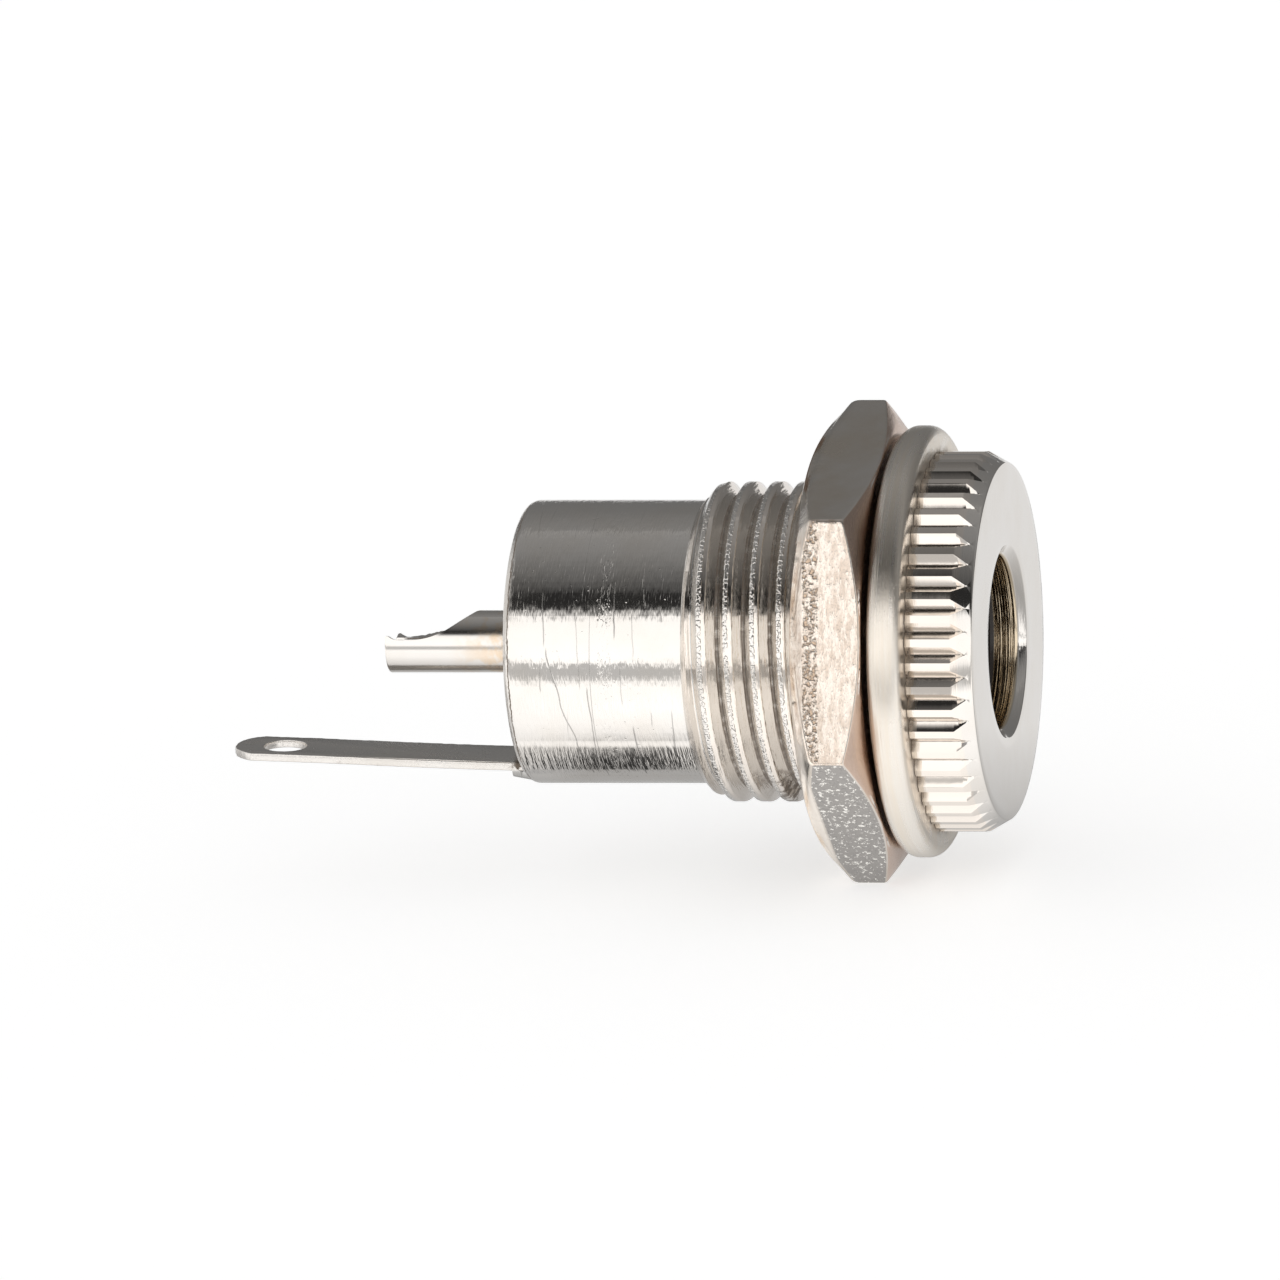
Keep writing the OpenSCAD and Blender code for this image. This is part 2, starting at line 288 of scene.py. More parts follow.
class Nodes:
    """Short calls for building one node tree."""

    def __init__(self, tree):
        self.tree = tree

    def add(self, kind, **settings):
        node = self.tree.nodes.new(kind)
        for key, value in settings.items():
            setattr(node, key, value)
        return node

    def link(self, value, socket):
        if isinstance(value, bpy.types.NodeSocket):
            self.tree.links.new(value, socket)
        else:
            socket.default_value = value

    def math(self, operation, a, b=0.0, c=0.0, clamp=False):
        node = self.add("ShaderNodeMath", operation=operation, use_clamp=clamp)
        for value, socket in zip((a, b, c), node.inputs):
            self.link(value, socket)
        return node.outputs[0]

    def chain(self, operation, values):
        result = values[0]
        for value in values[1:]:
            result = self.math(operation, result, value)
        return result

    def times(self, *values):
        return self.chain("MULTIPLY", values)

    def plus(self, *values):
        return self.chain("ADD", values)

    def minus(self, *values):
        return self.chain("SUBTRACT", values)

    def most(self, *values):
        return self.chain("MAXIMUM", values)

    def magnitude(self, value):
        return self.math("ABSOLUTE", value)

    def ramp(self, value, low, high, out_low=0.0, out_high=1.0):
        node = self.add("ShaderNodeMapRange", interpolation_type="SMOOTHSTEP")
        for item, socket in zip((value, low, high, out_low, out_high), node.inputs):
            self.link(item, socket)
        return node.outputs[0]

    def vector(self, x, y, z):
        node = self.add("ShaderNodeCombineXYZ")
        for item, socket in zip((x, y, z), node.inputs):
            self.link(item, socket)
        return node.outputs[0]

    def noise(self, vector, scale, detail=2.0, roughness=0.5):
        node = self.add("ShaderNodeTexNoise")
        self.link(vector, node.inputs["Vector"])
        node.inputs["Scale"].default_value = scale
        node.inputs["Detail"].default_value = detail
        node.inputs["Roughness"].default_value = roughness
        return node.outputs[0]

    def mix(self, factor, a, b):
        node = self.add("ShaderNodeMix", data_type="RGBA")
        self.link(factor, node.inputs[0])
        for item, socket in ((a, node.inputs[6]), (b, node.inputs[7])):
            self.link((*item, 1.0) if isinstance(item, (tuple, list)) else item, socket)
        return node.outputs[2]

    def blend(self, factor, a, b):
        """A number between two others."""
        node = self.add("ShaderNodeMix", data_type="FLOAT")
        for value, socket in zip((factor, a, b), (node.inputs[0], node.inputs[2], node.inputs[3])):
            self.link(value, socket)
        return node.outputs[0]

    def bump(self, millimetres):
        """A bent normal from a height in millimetres."""
        node = self.add("ShaderNodeBump")
        node.inputs["Strength"].default_value = 1.0
        node.inputs["Distance"].default_value = 1.0
        self.link(self.times(millimetres, MM), node.inputs["Height"])
        return node.outputs[0]


def new_material(name, metallic):
    """A material with its tree and its Principled shader."""
    material = bpy.data.materials.new(name)
    material.use_nodes = True
    tree = material.node_tree
    tree.nodes.clear()
    kit = Nodes(tree)
    shader = kit.add("ShaderNodeBsdfPrincipled")
    shader.inputs["Metallic"].default_value = metallic
    output = kit.add("ShaderNodeOutputMaterial")
    tree.links.new(shader.outputs[0], output.inputs["Surface"])
    return material, kit, shader


class Place:
    """Where a shaded point is, in millimetres: along the axis, round it and out from it."""

    def __init__(self, kit):
        self.coords = kit.add("ShaderNodeTexCoord")
        scaled = kit.add("ShaderNodeVectorMath", operation="SCALE")
        kit.link(self.coords.outputs["Object"], scaled.inputs[0])
        scaled.inputs["Scale"].default_value = 1.0 / MM
        self.point = scaled.outputs[0]
        parts = kit.add("ShaderNodeSeparateXYZ")
        kit.link(self.point, parts.inputs[0])
        self.x, self.y, self.z = parts.outputs
        self.r = kit.math("SQRT", kit.plus(kit.times(self.y, self.y), kit.times(self.z, self.z)))
        self.near = kit.times(self.y, -1.0)
        self.turn = kit.math("ARCTAN2", self.near, self.z)
        facing = kit.add("ShaderNodeSeparateXYZ")
        kit.link(self.coords.outputs["Normal"], facing.inputs[0])
        self.nx, self.ny, self.nz = facing.outputs

    def facing(self, kit, degrees):
        """How squarely a surface faces out at one angle round the axis."""
        turn = math.radians(degrees)
        return kit.minus(kit.times(self.nz, math.cos(turn)), kit.times(self.ny, math.sin(turn)))

    def phase(self, kit):
        """Distance along the axis from the nearest crest of the thread, in millimetres."""
        sizes = bpy.context.scene.jack_sizes
        turns = kit.times(self.turn, 1.0 / TAU)
        along = kit.minus(self.x, sizes.crest_x / MM)
        pitch = sizes.thread_pitch / MM
        return kit.math("WRAP", kit.minus(along, kit.times(turns, pitch)), pitch / 2, -pitch / 2)

    def wrapped(self, kit, along, out, round_scale):
        """A vector for noise that runs round the axis without a seam."""
        cosine = kit.times(kit.math("COSINE", self.turn), round_scale)
        sine = kit.times(kit.math("SINE", self.turn), round_scale)
        lift = kit.plus(kit.times(self.x, along), kit.times(self.r, out))
        return kit.vector(lift, cosine, sine)


def near_zero(kit, value, clear, gone, amount=1.0):
    """An amount where a value is close to 0, gone a little away from it."""
    return kit.ramp(kit.magnitude(value), clear, gone, amount, 0.0)


def metal(name, tint, roughness, turned=0.6, scratched=False, pits=0.0, stain=0.15, mask=None, relief=None,
          tone=None):
    """Plated metal: turning lines, fine scratches, pits, smudges, brown dirt and painted shade where the mask says, and
    the tone's tints, painted light and shade among them.
    """
    material, kit, shader = new_material(name, 1.0)
    where = Place(kit)
    lines = kit.noise(where.wrapped(kit, 38.0, 38.0, 0.9), 1.0, 3.0, 0.65)
    broad = kit.noise(where.wrapped(kit, 3.1, 3.1, 1.6), 1.0, 2.0)
    smudge = kit.noise(where.point, 0.42, 3.0, 0.6)
    grain = kit.noise(where.point, 19.0, 2.0, 0.6)
    colour_out = kit.mix(kit.times(kit.ramp(smudge, 0.35, 0.7), stain), tuple(tint), tuple(
        t * k for t, k in zip(tint, (0.86, 0.78, 0.66))))
    if tone is not None:
        # the tone's colours paint light and shade on some parts: reflections, highlights, glints and shade
        amount, shade, extra = tone(kit, where)
        colour_out = kit.mix(amount, colour_out, shade)
        roughness = kit.plus(roughness, kit.times(amount, extra))
    rough = kit.plus(roughness, kit.times(kit.ramp(smudge, 0.4, 0.75), 0.07))
    height = kit.plus(kit.times(lines, 0.0010 * turned), kit.times(broad, 0.0016 * turned))
    if scratched:
        marks = scratches_of(kit, where)
        colour_out = kit.mix(kit.times(marks, 0.8), colour_out, tuple(0.35 * c for c in tint))
        rough = kit.plus(rough, kit.times(marks, 0.25))
        height = kit.minus(height, kit.times(marks, 0.006))
    if mask is not None:
        # the mask's brown is dirt, and on the shell it is also painted shade
        dirt_and_shade_amount = mask(kit, where)
        colour_out = kit.mix(dirt_and_shade_amount, colour_out, tuple(bpy.context.scene.jack_finishes.dirt_and_shade))
        rough = kit.math("ADD", rough, kit.times(dirt_and_shade_amount, 0.35), clamp=True)
        kit.link(kit.minus(1.0, kit.times(dirt_and_shade_amount, 0.85)), shader.inputs["Metallic"])
    kit.link(colour_out, shader.inputs["Base Color"])
    kit.link(rough, shader.inputs["Roughness"])
    if relief is not None:
        height = kit.plus(height, relief(kit, where))
    if pits > 0.0:
        hole = kit.ramp(kit.noise(where.point, 11.0, 3.0, 0.62), 0.30, 0.46, 0.0, 1.0)
        height = kit.plus(height, kit.times(hole, 0.02 * pits))
        height = kit.plus(height, kit.times(grain, 0.005 * pits))
    kit.link(kit.bump(height), shader.inputs["Normal"])
    return material


def band(kit, value, low, high, soft):
    """1 between two values, falling to 0 over a soft edge outside them."""
    rise = kit.ramp(value, low - soft, low)
    fall = kit.ramp(value, high, high + soft, 1.0, 0.0)
    return kit.times(rise, fall)


SCRATCHES = (
    (-13.98, 55, -13.87, 76, 0.8), (-13.80, 79, -13.37, 100, 0.9), (-13.37, 100, -12.96, 120, 0.9),
    (-12.96, 120, -12.69, 142, 0.9), (-12.75, 59, -12.63, 76, 0.5), (-12.63, 76, -12.58, 94, 0.5),
    (-11.30, 51, -11.23, 73, 1.0), (-14.05, 87, -14.06, 95, 0.7), (-12.32, 95, -12.27, 110, 0.9),
    (-12.27, 110, -12.30, 126, 0.8), (-11.03, 87, -11.04, 101, 0.5), (-10.58, 64, -10.52, 81, 0.5),
    (-10.75, 113, -10.71, 143, 0.9), (-9.52, 62, -9.47, 66, 0.7), (-10.00, 106, -10.02, 111, 0.6),
)


def long_scratches(kit, where):
    """The deeper scratches round the barrel: from one place and angle to another, each with its strength."""
    degrees = kit.times(where.turn, 180.0 / math.pi)
    unsteady = kit.times(kit.minus(kit.noise(where.point, 1.7, 2.0), 0.5), 0.09)
    at = kit.plus(where.x, unsteady)
    lines = []
    for x0, turn0, x1, turn1, strength in SCRATCHES:
        share = kit.ramp(degrees, turn0, turn1, x0, x1)
        line = near_zero(kit, kit.minus(at, share), 0.0, 0.026 + 0.02 * strength, strength)
        lines.append(kit.times(line, band(kit, degrees, turn0 + 1, turn1 - 1, 3.0)))
    return kit.most(*lines)


def on_thread(kit, where, high=6.0):
    """1 on the thread and 0 elsewhere on the shell."""
    inside = kit.ramp(where.r, high, high + 0.05, 1.0, 0.0)
    return kit.times(band(kit, where.x, -8.6, 0.0, 0.1), inside, kit.ramp(where.r, 5.05, 5.1))


def mouth_land(kit, where):
    """1 on the metal land in the mouth."""
    return kit.times(kit.ramp(where.r, 3.22, 3.30, 1.0, 0.0), kit.ramp(where.x, 1.0, 1.1))


def shell_dirt_and_painted_shade(kit, where):
    """Brown: painted shade in the knurl by the washer, at the seat and on the thread's lower near side, darker lines at
    the knurl's and the thread's roots, and dirt in the crack behind the rim and at its edge.
    """
    patchy = kit.noise(where.point, 3.2, 3.0, 0.6)
    in_groove = kit.times(kit.ramp(where.r, 6.80, 6.97, 1.0, 0.0), band(kit, where.x, 0.0, 2.0, 0.05),
                          kit.ramp(where.r, 6.55, 6.6))
    # painted shade in the knurl's grooves by the washer
    by_washer = kit.times(in_groove, kit.ramp(where.x, 0.08, 0.28, 0.35, 0.0))
    root_line = kit.times(kit.ramp(where.r, 6.71, 6.735, 0.5, 0.0), in_groove)
    # painted shade in the corner at the seat against the washer
    seat = kit.times(near_zero(kit, where.x, 0.012, 0.04, 0.7), kit.ramp(where.r, 6.5, 6.6))
    phase = where.phase(kit)
    root = kit.times(kit.ramp(kit.magnitude(phase), 0.425, 0.455, 0.0, 0.75), on_thread(kit, where),
                     kit.ramp(where.x, -8.1, -7.7))
    # painted shade on the thread's lower near side
    low = kit.times(kit.ramp(where.z, -3.9, -4.5, 0.0, 1.0), kit.ramp(where.near, 1.2, 2.2),
                    kit.ramp(where.x, -6.6, -5.3), kit.ramp(patchy, 0.44, 0.6), on_thread(kit, where))
    crack_x = kit.plus(-15.27, kit.times(kit.minus(patchy, 0.5), 0.16))
    crack = near_zero(kit, kit.minus(where.x, crack_x), 0.014, 0.036, 0.85)
    crack = kit.times(crack, kit.ramp(patchy, 0.26, 0.40))
    rim = kit.times(near_zero(kit, kit.plus(where.x, 15.49), 0.006, 0.02, 0.7), kit.ramp(where.r, 4.9, 4.95))
    total = kit.most(by_washer, root_line, root, kit.times(low, 0.8), crack,
                     kit.times(rim, kit.ramp(patchy, 0.4, 0.5)), seat)
    return kit.math("MULTIPLY", total, kit.ramp(patchy, 0.25, 0.6, 0.45, 1.0), clamp=True)


def shell_relief(kit, where):
    """Height in millimetres: fur of fine turning marks, scratches round the barrel and pitted crests."""
    barrel = kit.ramp(where.x, -8.75, -8.6, 1.0, 0.0)
    fur = kit.noise(where.wrapped(kit, 17.0, 0.0, 7.5), 1.0, 2.0, 0.55)
    peel = kit.noise(where.wrapped(kit, 2.2, 0.0, 9.0), 1.0, 1.0)
    underside = kit.times(band(kit, where.z, -3.95, -2.9, 0.35), kit.ramp(where.near, 0.0, 2.0), barrel)
    strands = kit.noise(where.wrapped(kit, 9.0, 0.0, 3.4), 1.0, 2.0, 0.6)
    height = kit.plus(kit.times(fur, 0.021), kit.times(peel, 0.012))
    height = kit.plus(height, kit.times(strands, underside, 0.10))
    calm = kit.times(kit.ramp(where.x, -0.3, 0.0, 1.0, 0.22), kit.ramp(where.x, 2.40, 2.445, 1.0, 0.6))
    height = kit.times(height, calm)
    scuff_place = kit.times(band(kit, where.x, -11.85, -11.45, 0.15), barrel)
    scuff_noise = kit.ramp(kit.noise(where.wrapped(kit, 14.0, 0.0, 16.0), 1.0, 2.0), 0.50, 0.66)
    height = kit.minus(height, kit.times(scuff_noise, scuff_place, 0.006))
    specks = kit.ramp(kit.noise(where.point, 5.5, 1.0), 0.73, 0.80)
    height = kit.minus(height, kit.times(specks, barrel, 0.006))
    phase = where.phase(kit)
    crest = kit.times(band(kit, phase, -0.15, 0.0, 0.03), on_thread(kit, where))
    chips = kit.ramp(kit.noise(where.point, 7.5, 1.0), 0.42, 0.58)
    height = kit.plus(height, kit.times(chips, crest, 0.030))
    land = mouth_land(kit, where)
    turning = kit.noise(where.wrapped(kit, 13.0, 0.0, 0.5), 1.0, 1.0)
    height = kit.plus(height, kit.times(turning, land, 0.026))
    ridges = kit.noise(kit.vector(kit.times(phase, 13.0), kit.times(where.y, 0.22),
                                  kit.times(where.z, 0.22)), 1.0, 2.0, 0.6)
    return kit.plus(height, kit.times(ridges, on_thread(kit, where), 0.022))


def shell_tint_and_painted_light(kit, where):
    """A warmer tint on the knurl, painted warm reflection on the thread's front flanks, painted shade on the rear
    flanks and on the tongue's lower side, and a painted golden reflection on the land in the mouth.
    """
    land = mouth_land(kit, where)
    phase = where.phase(kit)
    thread = on_thread(kit, where)
    # painted warm reflection on the thread's front flanks
    front = kit.times(band(kit, phase, 0.03, 0.5, 0.03), thread)
    # painted shade on the thread's rear flanks
    rear_flank_shade = kit.times(band(kit, phase, -0.5, -0.19, 0.03), thread)
    knurl = kit.times(band(kit, where.x, 0.02, 1.9, 0.1), kit.ramp(where.r, 6.5, 6.6))
    # painted shade on the tongue's lower side
    tongue = kit.times(kit.ramp(where.x, -15.62, -15.52, 1.0, 0.0), kit.ramp(where.z, -4.4, -4.3, 1.0, 0.0))
    # the land's golden colour is a painted reflection
    shade = kit.mix(land, (0.86, 0.785, 0.71), (0.66, 0.55, 0.40))
    shade = kit.mix(kit.most(rear_flank_shade, tongue), shade, (0.66, 0.645, 0.62))
    amount = kit.most(kit.times(front, 0.9), kit.times(rear_flank_shade, 0.9), kit.times(knurl, 0.8), land, tongue)
    return amount, shade, kit.plus(kit.times(land, 0.08), kit.times(tongue, 0.18))


def nut_folds(kit, where):
    stretched = kit.vector(kit.times(where.x, 5.2), kit.times(where.y, 1.7), kit.times(where.z, 1.7))
    return kit.noise(stretched, 1.0, 4.0, 0.70)


def nut_tint_and_painted_light(kit, where):
    """Painted light with a warm tint and mottled folds on the near flat, painted shade with painted glints on the low
    one, painted shade on the front face by the washer, a painted highlight along the back edge, and brown in the torn
    pits.
    """
    # near flat: painted light, warm, mottled along the folds
    near = kit.times(kit.ramp(where.facing(kit, 75), 0.5, 0.8), kit.ramp(where.nx, 0.25, 0.6, 1.0, 0.0))
    # low flat: painted shade
    low = kit.times(kit.ramp(where.facing(kit, 135), 0.94, 0.97), kit.ramp(where.x, -3.75, -3.6))
    # front face: painted shade by the washer
    front = kit.ramp(where.nx, 0.5, 0.8)
    folds = kit.ramp(nut_folds(kit, where), 0.38, 0.62)
    # painted glints on the low flat
    painted_glints = kit.ramp(kit.noise(where.point, 5.5, 3.0, 0.7), 0.56, 0.62)
    torn = kit.times(torn_row(kit, where),
                     kit.ramp(kit.noise(where.point, 6.0, 2.0, 0.6), 0.38, 0.50, 1.0, 0.0))
    shade = kit.mix(folds, (0.74, 0.62, 0.52), (0.97, 0.87, 0.77))
    shade = kit.mix(torn, shade, (0.62, 0.47, 0.35))
    shade = kit.mix(low, shade, kit.mix(painted_glints, (0.36, 0.34, 0.32), (0.95, 0.92, 0.86)))
    shade = kit.mix(front, shade, (0.62, 0.46, 0.37))
    # painted highlight along the back edge
    rim = kit.times(kit.ramp(where.x, -3.75, -3.6, 1.0, 0.0), kit.ramp(where.facing(kit, 120), 0.1, 0.3))
    shade = kit.mix(kit.times(rim, kit.ramp(near, 0.0, 0.5, 1.0, 0.0)), shade, (0.99, 0.92, 0.84))
    return kit.most(near, low, rim, kit.times(front, 0.9)), shade, kit.times(rim, 0.25)


def torn_row(kit, where):
    """1 along the row of torn pits near the back edge of the near flat."""
    wander = kit.times(kit.minus(kit.noise(where.point, 0.9, 2.0), 0.5), 0.25)
    at = kit.plus(where.x, wander)
    return kit.times(band(kit, at, -3.58, -3.12, 0.08), kit.ramp(where.facing(kit, 75), 0.85, 0.95))


def nut_relief(kit, where):
    """Wrinkles across the blank's flats, a row of torn pits by the back edge, and small nicks."""
    near = kit.ramp(where.facing(kit, 75), 0.85, 0.95)
    holes = kit.ramp(kit.noise(where.point, 6.0, 2.0, 0.6), 0.38, 0.54, 1.0, 0.0)
    sand = kit.noise(where.point, 6.0, 2.0, 0.6)
    edge = kit.ramp(where.x, -3.75, -3.5, 1.0, 0.0)
    low = kit.ramp(where.facing(kit, 135), 0.94, 0.97)
    nicks = kit.times(kit.ramp(kit.noise(where.point, 6.0, 1.0), 0.58, 0.66), low)
    height = kit.times(nut_folds(kit, where), kit.ramp(near, 0.0, 1.0, 0.012, 0.10))
    height = kit.minus(height, kit.times(holes, torn_row(kit, where), 0.09))
    height = kit.plus(height, kit.times(sand, edge, 0.02))
    return kit.minus(height, kit.times(nicks, 0.018))


def washer_tone(kit, where):
    """A yellowish stain on the washer's outer face, and a warmer rim."""
    patchy = kit.noise(where.point, 1.1, 3.0, 0.6)
    face = kit.times(kit.ramp(where.nx, 0.5, 0.9), kit.ramp(patchy, 0.35, 0.55, 0.3, 1.0))
    streaks = kit.noise(where.wrapped(kit, 5.0, 5.0, 0.8), 1.0, 3.0, 0.7)
    rim = kit.times(kit.ramp(where.r, 7.3, 7.6), kit.ramp(streaks, 0.35, 0.65, 0.25, 1.0))
    return kit.most(face, rim), (0.80, 0.725, 0.63), 0.05


def washer_relief(kit, where):
    """Turning lines of the rim."""
    lines = kit.noise(where.wrapped(kit, 9.0, 9.0, 0.7), 1.0, 3.0, 0.7)
    return kit.times(lines, 0.030)


def scratches_of(kit, where):
    """Hairline scratches that run nearly round the barrel, and the deeper ones."""
    fine = near_zero(kit, kit.minus(kit.noise(where.wrapped(kit, 1.9, 0.6, 0.55), 1.0, 0.0), 0.5), 0.0, 0.022)
    parts = kit.ramp(kit.noise(where.wrapped(kit, 2.6, 0.0, 1.1), 1.0, 1.0), 0.56, 0.62)
    upper = kit.ramp(where.z, 3.4, 4.2, 1.0, 0.25)
    both = kit.most(kit.times(fine, parts, upper, 0.8), long_scratches(kit, where))
    return kit.times(both, kit.ramp(where.x, -9.2, -8.8, 1.0, 0.0))


def washer_mask(kit, where):
    patchy = kit.noise(where.point, 2.0, 3.0, 0.6)
    inner = kit.ramp(where.r, 6.9, 7.3, 0.55, 0.0)
    return kit.math("MULTIPLY", inner, kit.ramp(patchy, 0.3, 0.6), clamp=True)


def pin_mask(kit, where):
    near = kit.ramp(where.x, -16.6, -15.5, 0.0, 0.55)
    patchy = kit.noise(where.point, 2.6, 3.0, 0.6)
    return kit.math("MULTIPLY", near, kit.ramp(patchy, 0.3, 0.65, 0.3, 1.0), clamp=True)


def pin_tone(kit, where):
    """Warm stains on the tail near the barrel."""
    patchy = kit.noise(where.point, 1.3, 3.0, 0.6)
    near = kit.times(kit.ramp(where.x, -18.6, -16.4), kit.ramp(patchy, 0.42, 0.62, 0.0, 0.8))
    return near, (0.82, 0.64, 0.46), 0.1


def tab_mask(kit, where):
    """Brown stain at the tab's root and in spots on its face."""
    patchy = kit.noise(where.point, 1.5, 4.0, 0.65)
    fine = kit.noise(where.point, 4.0, 3.0, 0.6)
    near = kit.times(kit.ramp(kit.plus(where.x, kit.times(fine, 0.6)), -16.0, -15.75, 0.0, 0.85),
                     kit.ramp(fine, 0.38, 0.5))
    spots = kit.ramp(patchy, 0.56, 0.75, 0.0, 0.30)
    return kit.most(near, spots)


def plastic(name, tint):
    material, kit, shader = new_material(name, 0.0)
    where = Place(kit)
    cloud = kit.noise(where.point, 1.4, 3.0)
    kit.link(kit.mix(cloud, tuple(0.7 * c for c in tint), tuple(1.3 * c for c in tint)),
             shader.inputs["Base Color"])
    kit.link(kit.ramp(cloud, 0.3, 0.7, 0.28, 0.42), shader.inputs["Roughness"])
    kit.link(kit.bump(kit.times(kit.noise(where.point, 9.0, 2.0), 0.003)), shader.inputs["Normal"])
    return material


# ---------------------------------------------------------------- pieces

GROOVE_COLUMNS = (0.0, 0.025, 0.31, 0.341, 0.372, 0.5, 0.628, 0.659, 0.69, 0.975)


def knurl_radius(root, delta):
    """Radius of a V-groove's walls at an angle from its root."""
    delta = np.abs(delta)
    return root / (np.cos(delta) - np.sin(delta))


def build_shell():
    sizes = bpy.context.scene.jack_sizes
    step = TAU / sizes.knurl_count
    columns = np.array([(k + f) for k in range(sizes.knurl_count) for f in GROOVE_COLUMNS] + [sizes.knurl_count])
    theta = columns * step
    flange_r = sizes.flange_d / 2
    root = flange_r - sizes.knurl_depth
    near = columns - np.round(columns)
    edge = 0.341

    def knurl(x):
        """Radius and angles of one knurled ring, with the columns kept on the groove's edges."""
        cone = (flange_r - sizes.face_d / 2) * max(0.0, x - sizes.flange_t + sizes.cone_h) / sizes.cone_h
        outer = flange_r - cone
        reach = edge
        if outer < flange_r:
            ratio = root / outer
            reach = 0.0
            if ratio < 1.0:
                reach = (math.acos(min(1.0, ratio / math.sqrt(2))) - math.pi / 4) / step
        spread = max(reach, 0.04)
        away = np.abs(near)
        warped = np.where(away < edge, away * spread / edge,
                          spread + (away - edge) * (0.5 - spread) / (0.5 - edge))
        angles = (np.round(columns) + np.sign(near) * warped) * step
        radius = np.minimum(outer, knurl_radius(root, warped * step) + 0.012 * MM * (away < 0.01))
        return radius, angles

    def knurled(x, inset=0.0):
        radius, angles = knurl(x)
        return place(x, radius - inset, angles)

    ease = 0.035 * MM
    front = sizes.flange_t
    cone_x = front - sizes.cone_h
    thread_r = sizes.thread_d / 2
    plain_x = -0.95 * MM
    runout_x = sizes.runout - sizes.thread_len
    barrel_r = sizes.barrel_d / 2
    back = -sizes.thread_len - sizes.barrel_len
    cavity_r = barrel_r - sizes.wall_t
    lip_x = back + sizes.lip_t
    shoulder = front - sizes.shoulder_depth

    flange = [place(plain_x + 0.01 * MM, thread_r - 0.02 * MM, theta),
              place(-0.05 * MM, thread_r - 0.02 * MM, theta)]
    flange += [place(0.0, thread_r, theta), place(0.0, thread_r + 0.5 * MM, theta)]
    flange += [knurled(0.0, ease), knurled(0.3 * ease, 0.3 * ease), knurled(ease)]
    flange += [knurled(x) for x in (0.4 * MM, 0.8 * MM, 1.2 * MM, cone_x - 0.01 * MM)]
    flange += [knurled(cone_x + t * (front - cone_x - ease)) for t in np.linspace(0.02, 0.75, 10)]
    face_r = sizes.face_d / 2
    slope = (flange_r - face_r) / sizes.cone_h
    flange += [
        place(front - 2 * ease, face_r + 2 * ease * slope, theta),
        place(front - ease, face_r + ease * slope, theta),
        place(front - 0.3 * ease, face_r - 0.15 * ease, theta),
        place(front, face_r - ease, theta),
    ]
    flange += [place(front, r * MM, theta) for r in (6.2, 5.4, 4.6, 4.0)]
    mouth_r, bore_r = sizes.mouth_d / 2, sizes.bore_d / 2
    flange += [
        place(front, mouth_r + ease, theta),
        place(front - 0.3 * ease, mouth_r, theta),
        place(front - ease, mouth_r - 0.8 * ease, theta),
        place(front - sizes.mouth_depth + ease, bore_r + ease, theta),
        place(front - sizes.mouth_depth, bore_r + 0.2 * ease, theta),
        place(front - sizes.mouth_depth - ease, bore_r, theta),
        place((front + shoulder) / 2, bore_r, theta),
        place(shoulder, bore_r, theta),
        place(shoulder, cavity_r, theta),
    ]
    flange += [place(x, cavity_r, theta) for x in np.linspace(shoulder, lip_x, 5)[1:]]

    # the turned-over edge, with the opening for the tab
    floor_z = math.sqrt((cavity_r - 0.03 * MM) ** 2 - (sizes.strip_w / 2) ** 2)
    across = np.abs(cavity_r * np.sin(theta)) < sizes.strip_w / 2 + 0.03 * MM
    opened = np.where(across & (np.cos(theta) < 0),
                      np.minimum(floor_z / np.maximum(0.1, -np.cos(theta)), cavity_r), 0.0)
    lip = np.maximum(cavity_r - sizes.lip_w, opened)
    flange += [place(lip_x, lip, theta), place(back + ease, lip, theta), place(back, lip + ease, theta)]
    middle = barrel_r - sizes.rim_r
    for angle in np.linspace(0.0, math.pi / 2, 9):
        flange.append(place(back + sizes.rim_r * (1 - math.cos(angle)),
                            middle + sizes.rim_r * math.sin(angle), theta))
    flange += [place(x, barrel_r, theta) for x in np.linspace(back + sizes.rim_r, -sizes.thread_len, 12)[1:]]

    def surface(x, angle):
        envelope = barrel_r + (thread_r - barrel_r) * np.clip((x + sizes.thread_len) / sizes.runout, 0.0, 1.0)
        return np.minimum(envelope, thread_radius(sizes, x, angle))

    wound = wound_patch(sizes, theta, -sizes.thread_len, plain_x, surface)
    close = patch([place(plain_x, surface(np.full_like(theta, plain_x), theta), theta), flange[0]])
    body = make_object("shell_body", [patch(flange), wound, close], wobble=shell_wobble)

    # the tongue left standing under the tab
    half = sizes.strip_w / 2
    top = -floor_z
    sheets = []
    rows = []
    for t in np.linspace(0.0, 1.0, 9):
        x = lip_x + 0.05 * MM + t * (back - sizes.tongue_len - lip_x - 0.05 * MM)
        reach = barrel_r - 0.22 * MM * t
        y = np.linspace(-half, half, 25)
        corner = np.clip((np.abs(y) - half + 0.34 * MM) / (0.34 * MM), 0.0, 1.0)
        low = -np.sqrt(reach ** 2 - y ** 2) + 0.30 * MM * (1.0 - np.sqrt(1.0 - 0.999 * corner ** 2))
        under = np.stack((np.full_like(y, x), y, low), axis=-1)
        over = np.stack((np.full_like(y, x), y[::-1], np.full_like(y, top)), axis=-1)
        rows.append(np.concatenate((under, over, under[:1])))
    loop = patch(rows)
    middle_row = loop.mean(axis=1, keepdims=True)
    sheets.append(loop)
    sheets.append(patch([loop[-1], loop[-1] * 0.0 + middle_row[-1]]))
    sheets.append(patch([loop[0], loop[0] * 0.0 + middle_row[0]]))
    tongue = make_object("shell_tongue", sheets)
    return join_meshes("jack_shell", [body, tongue])


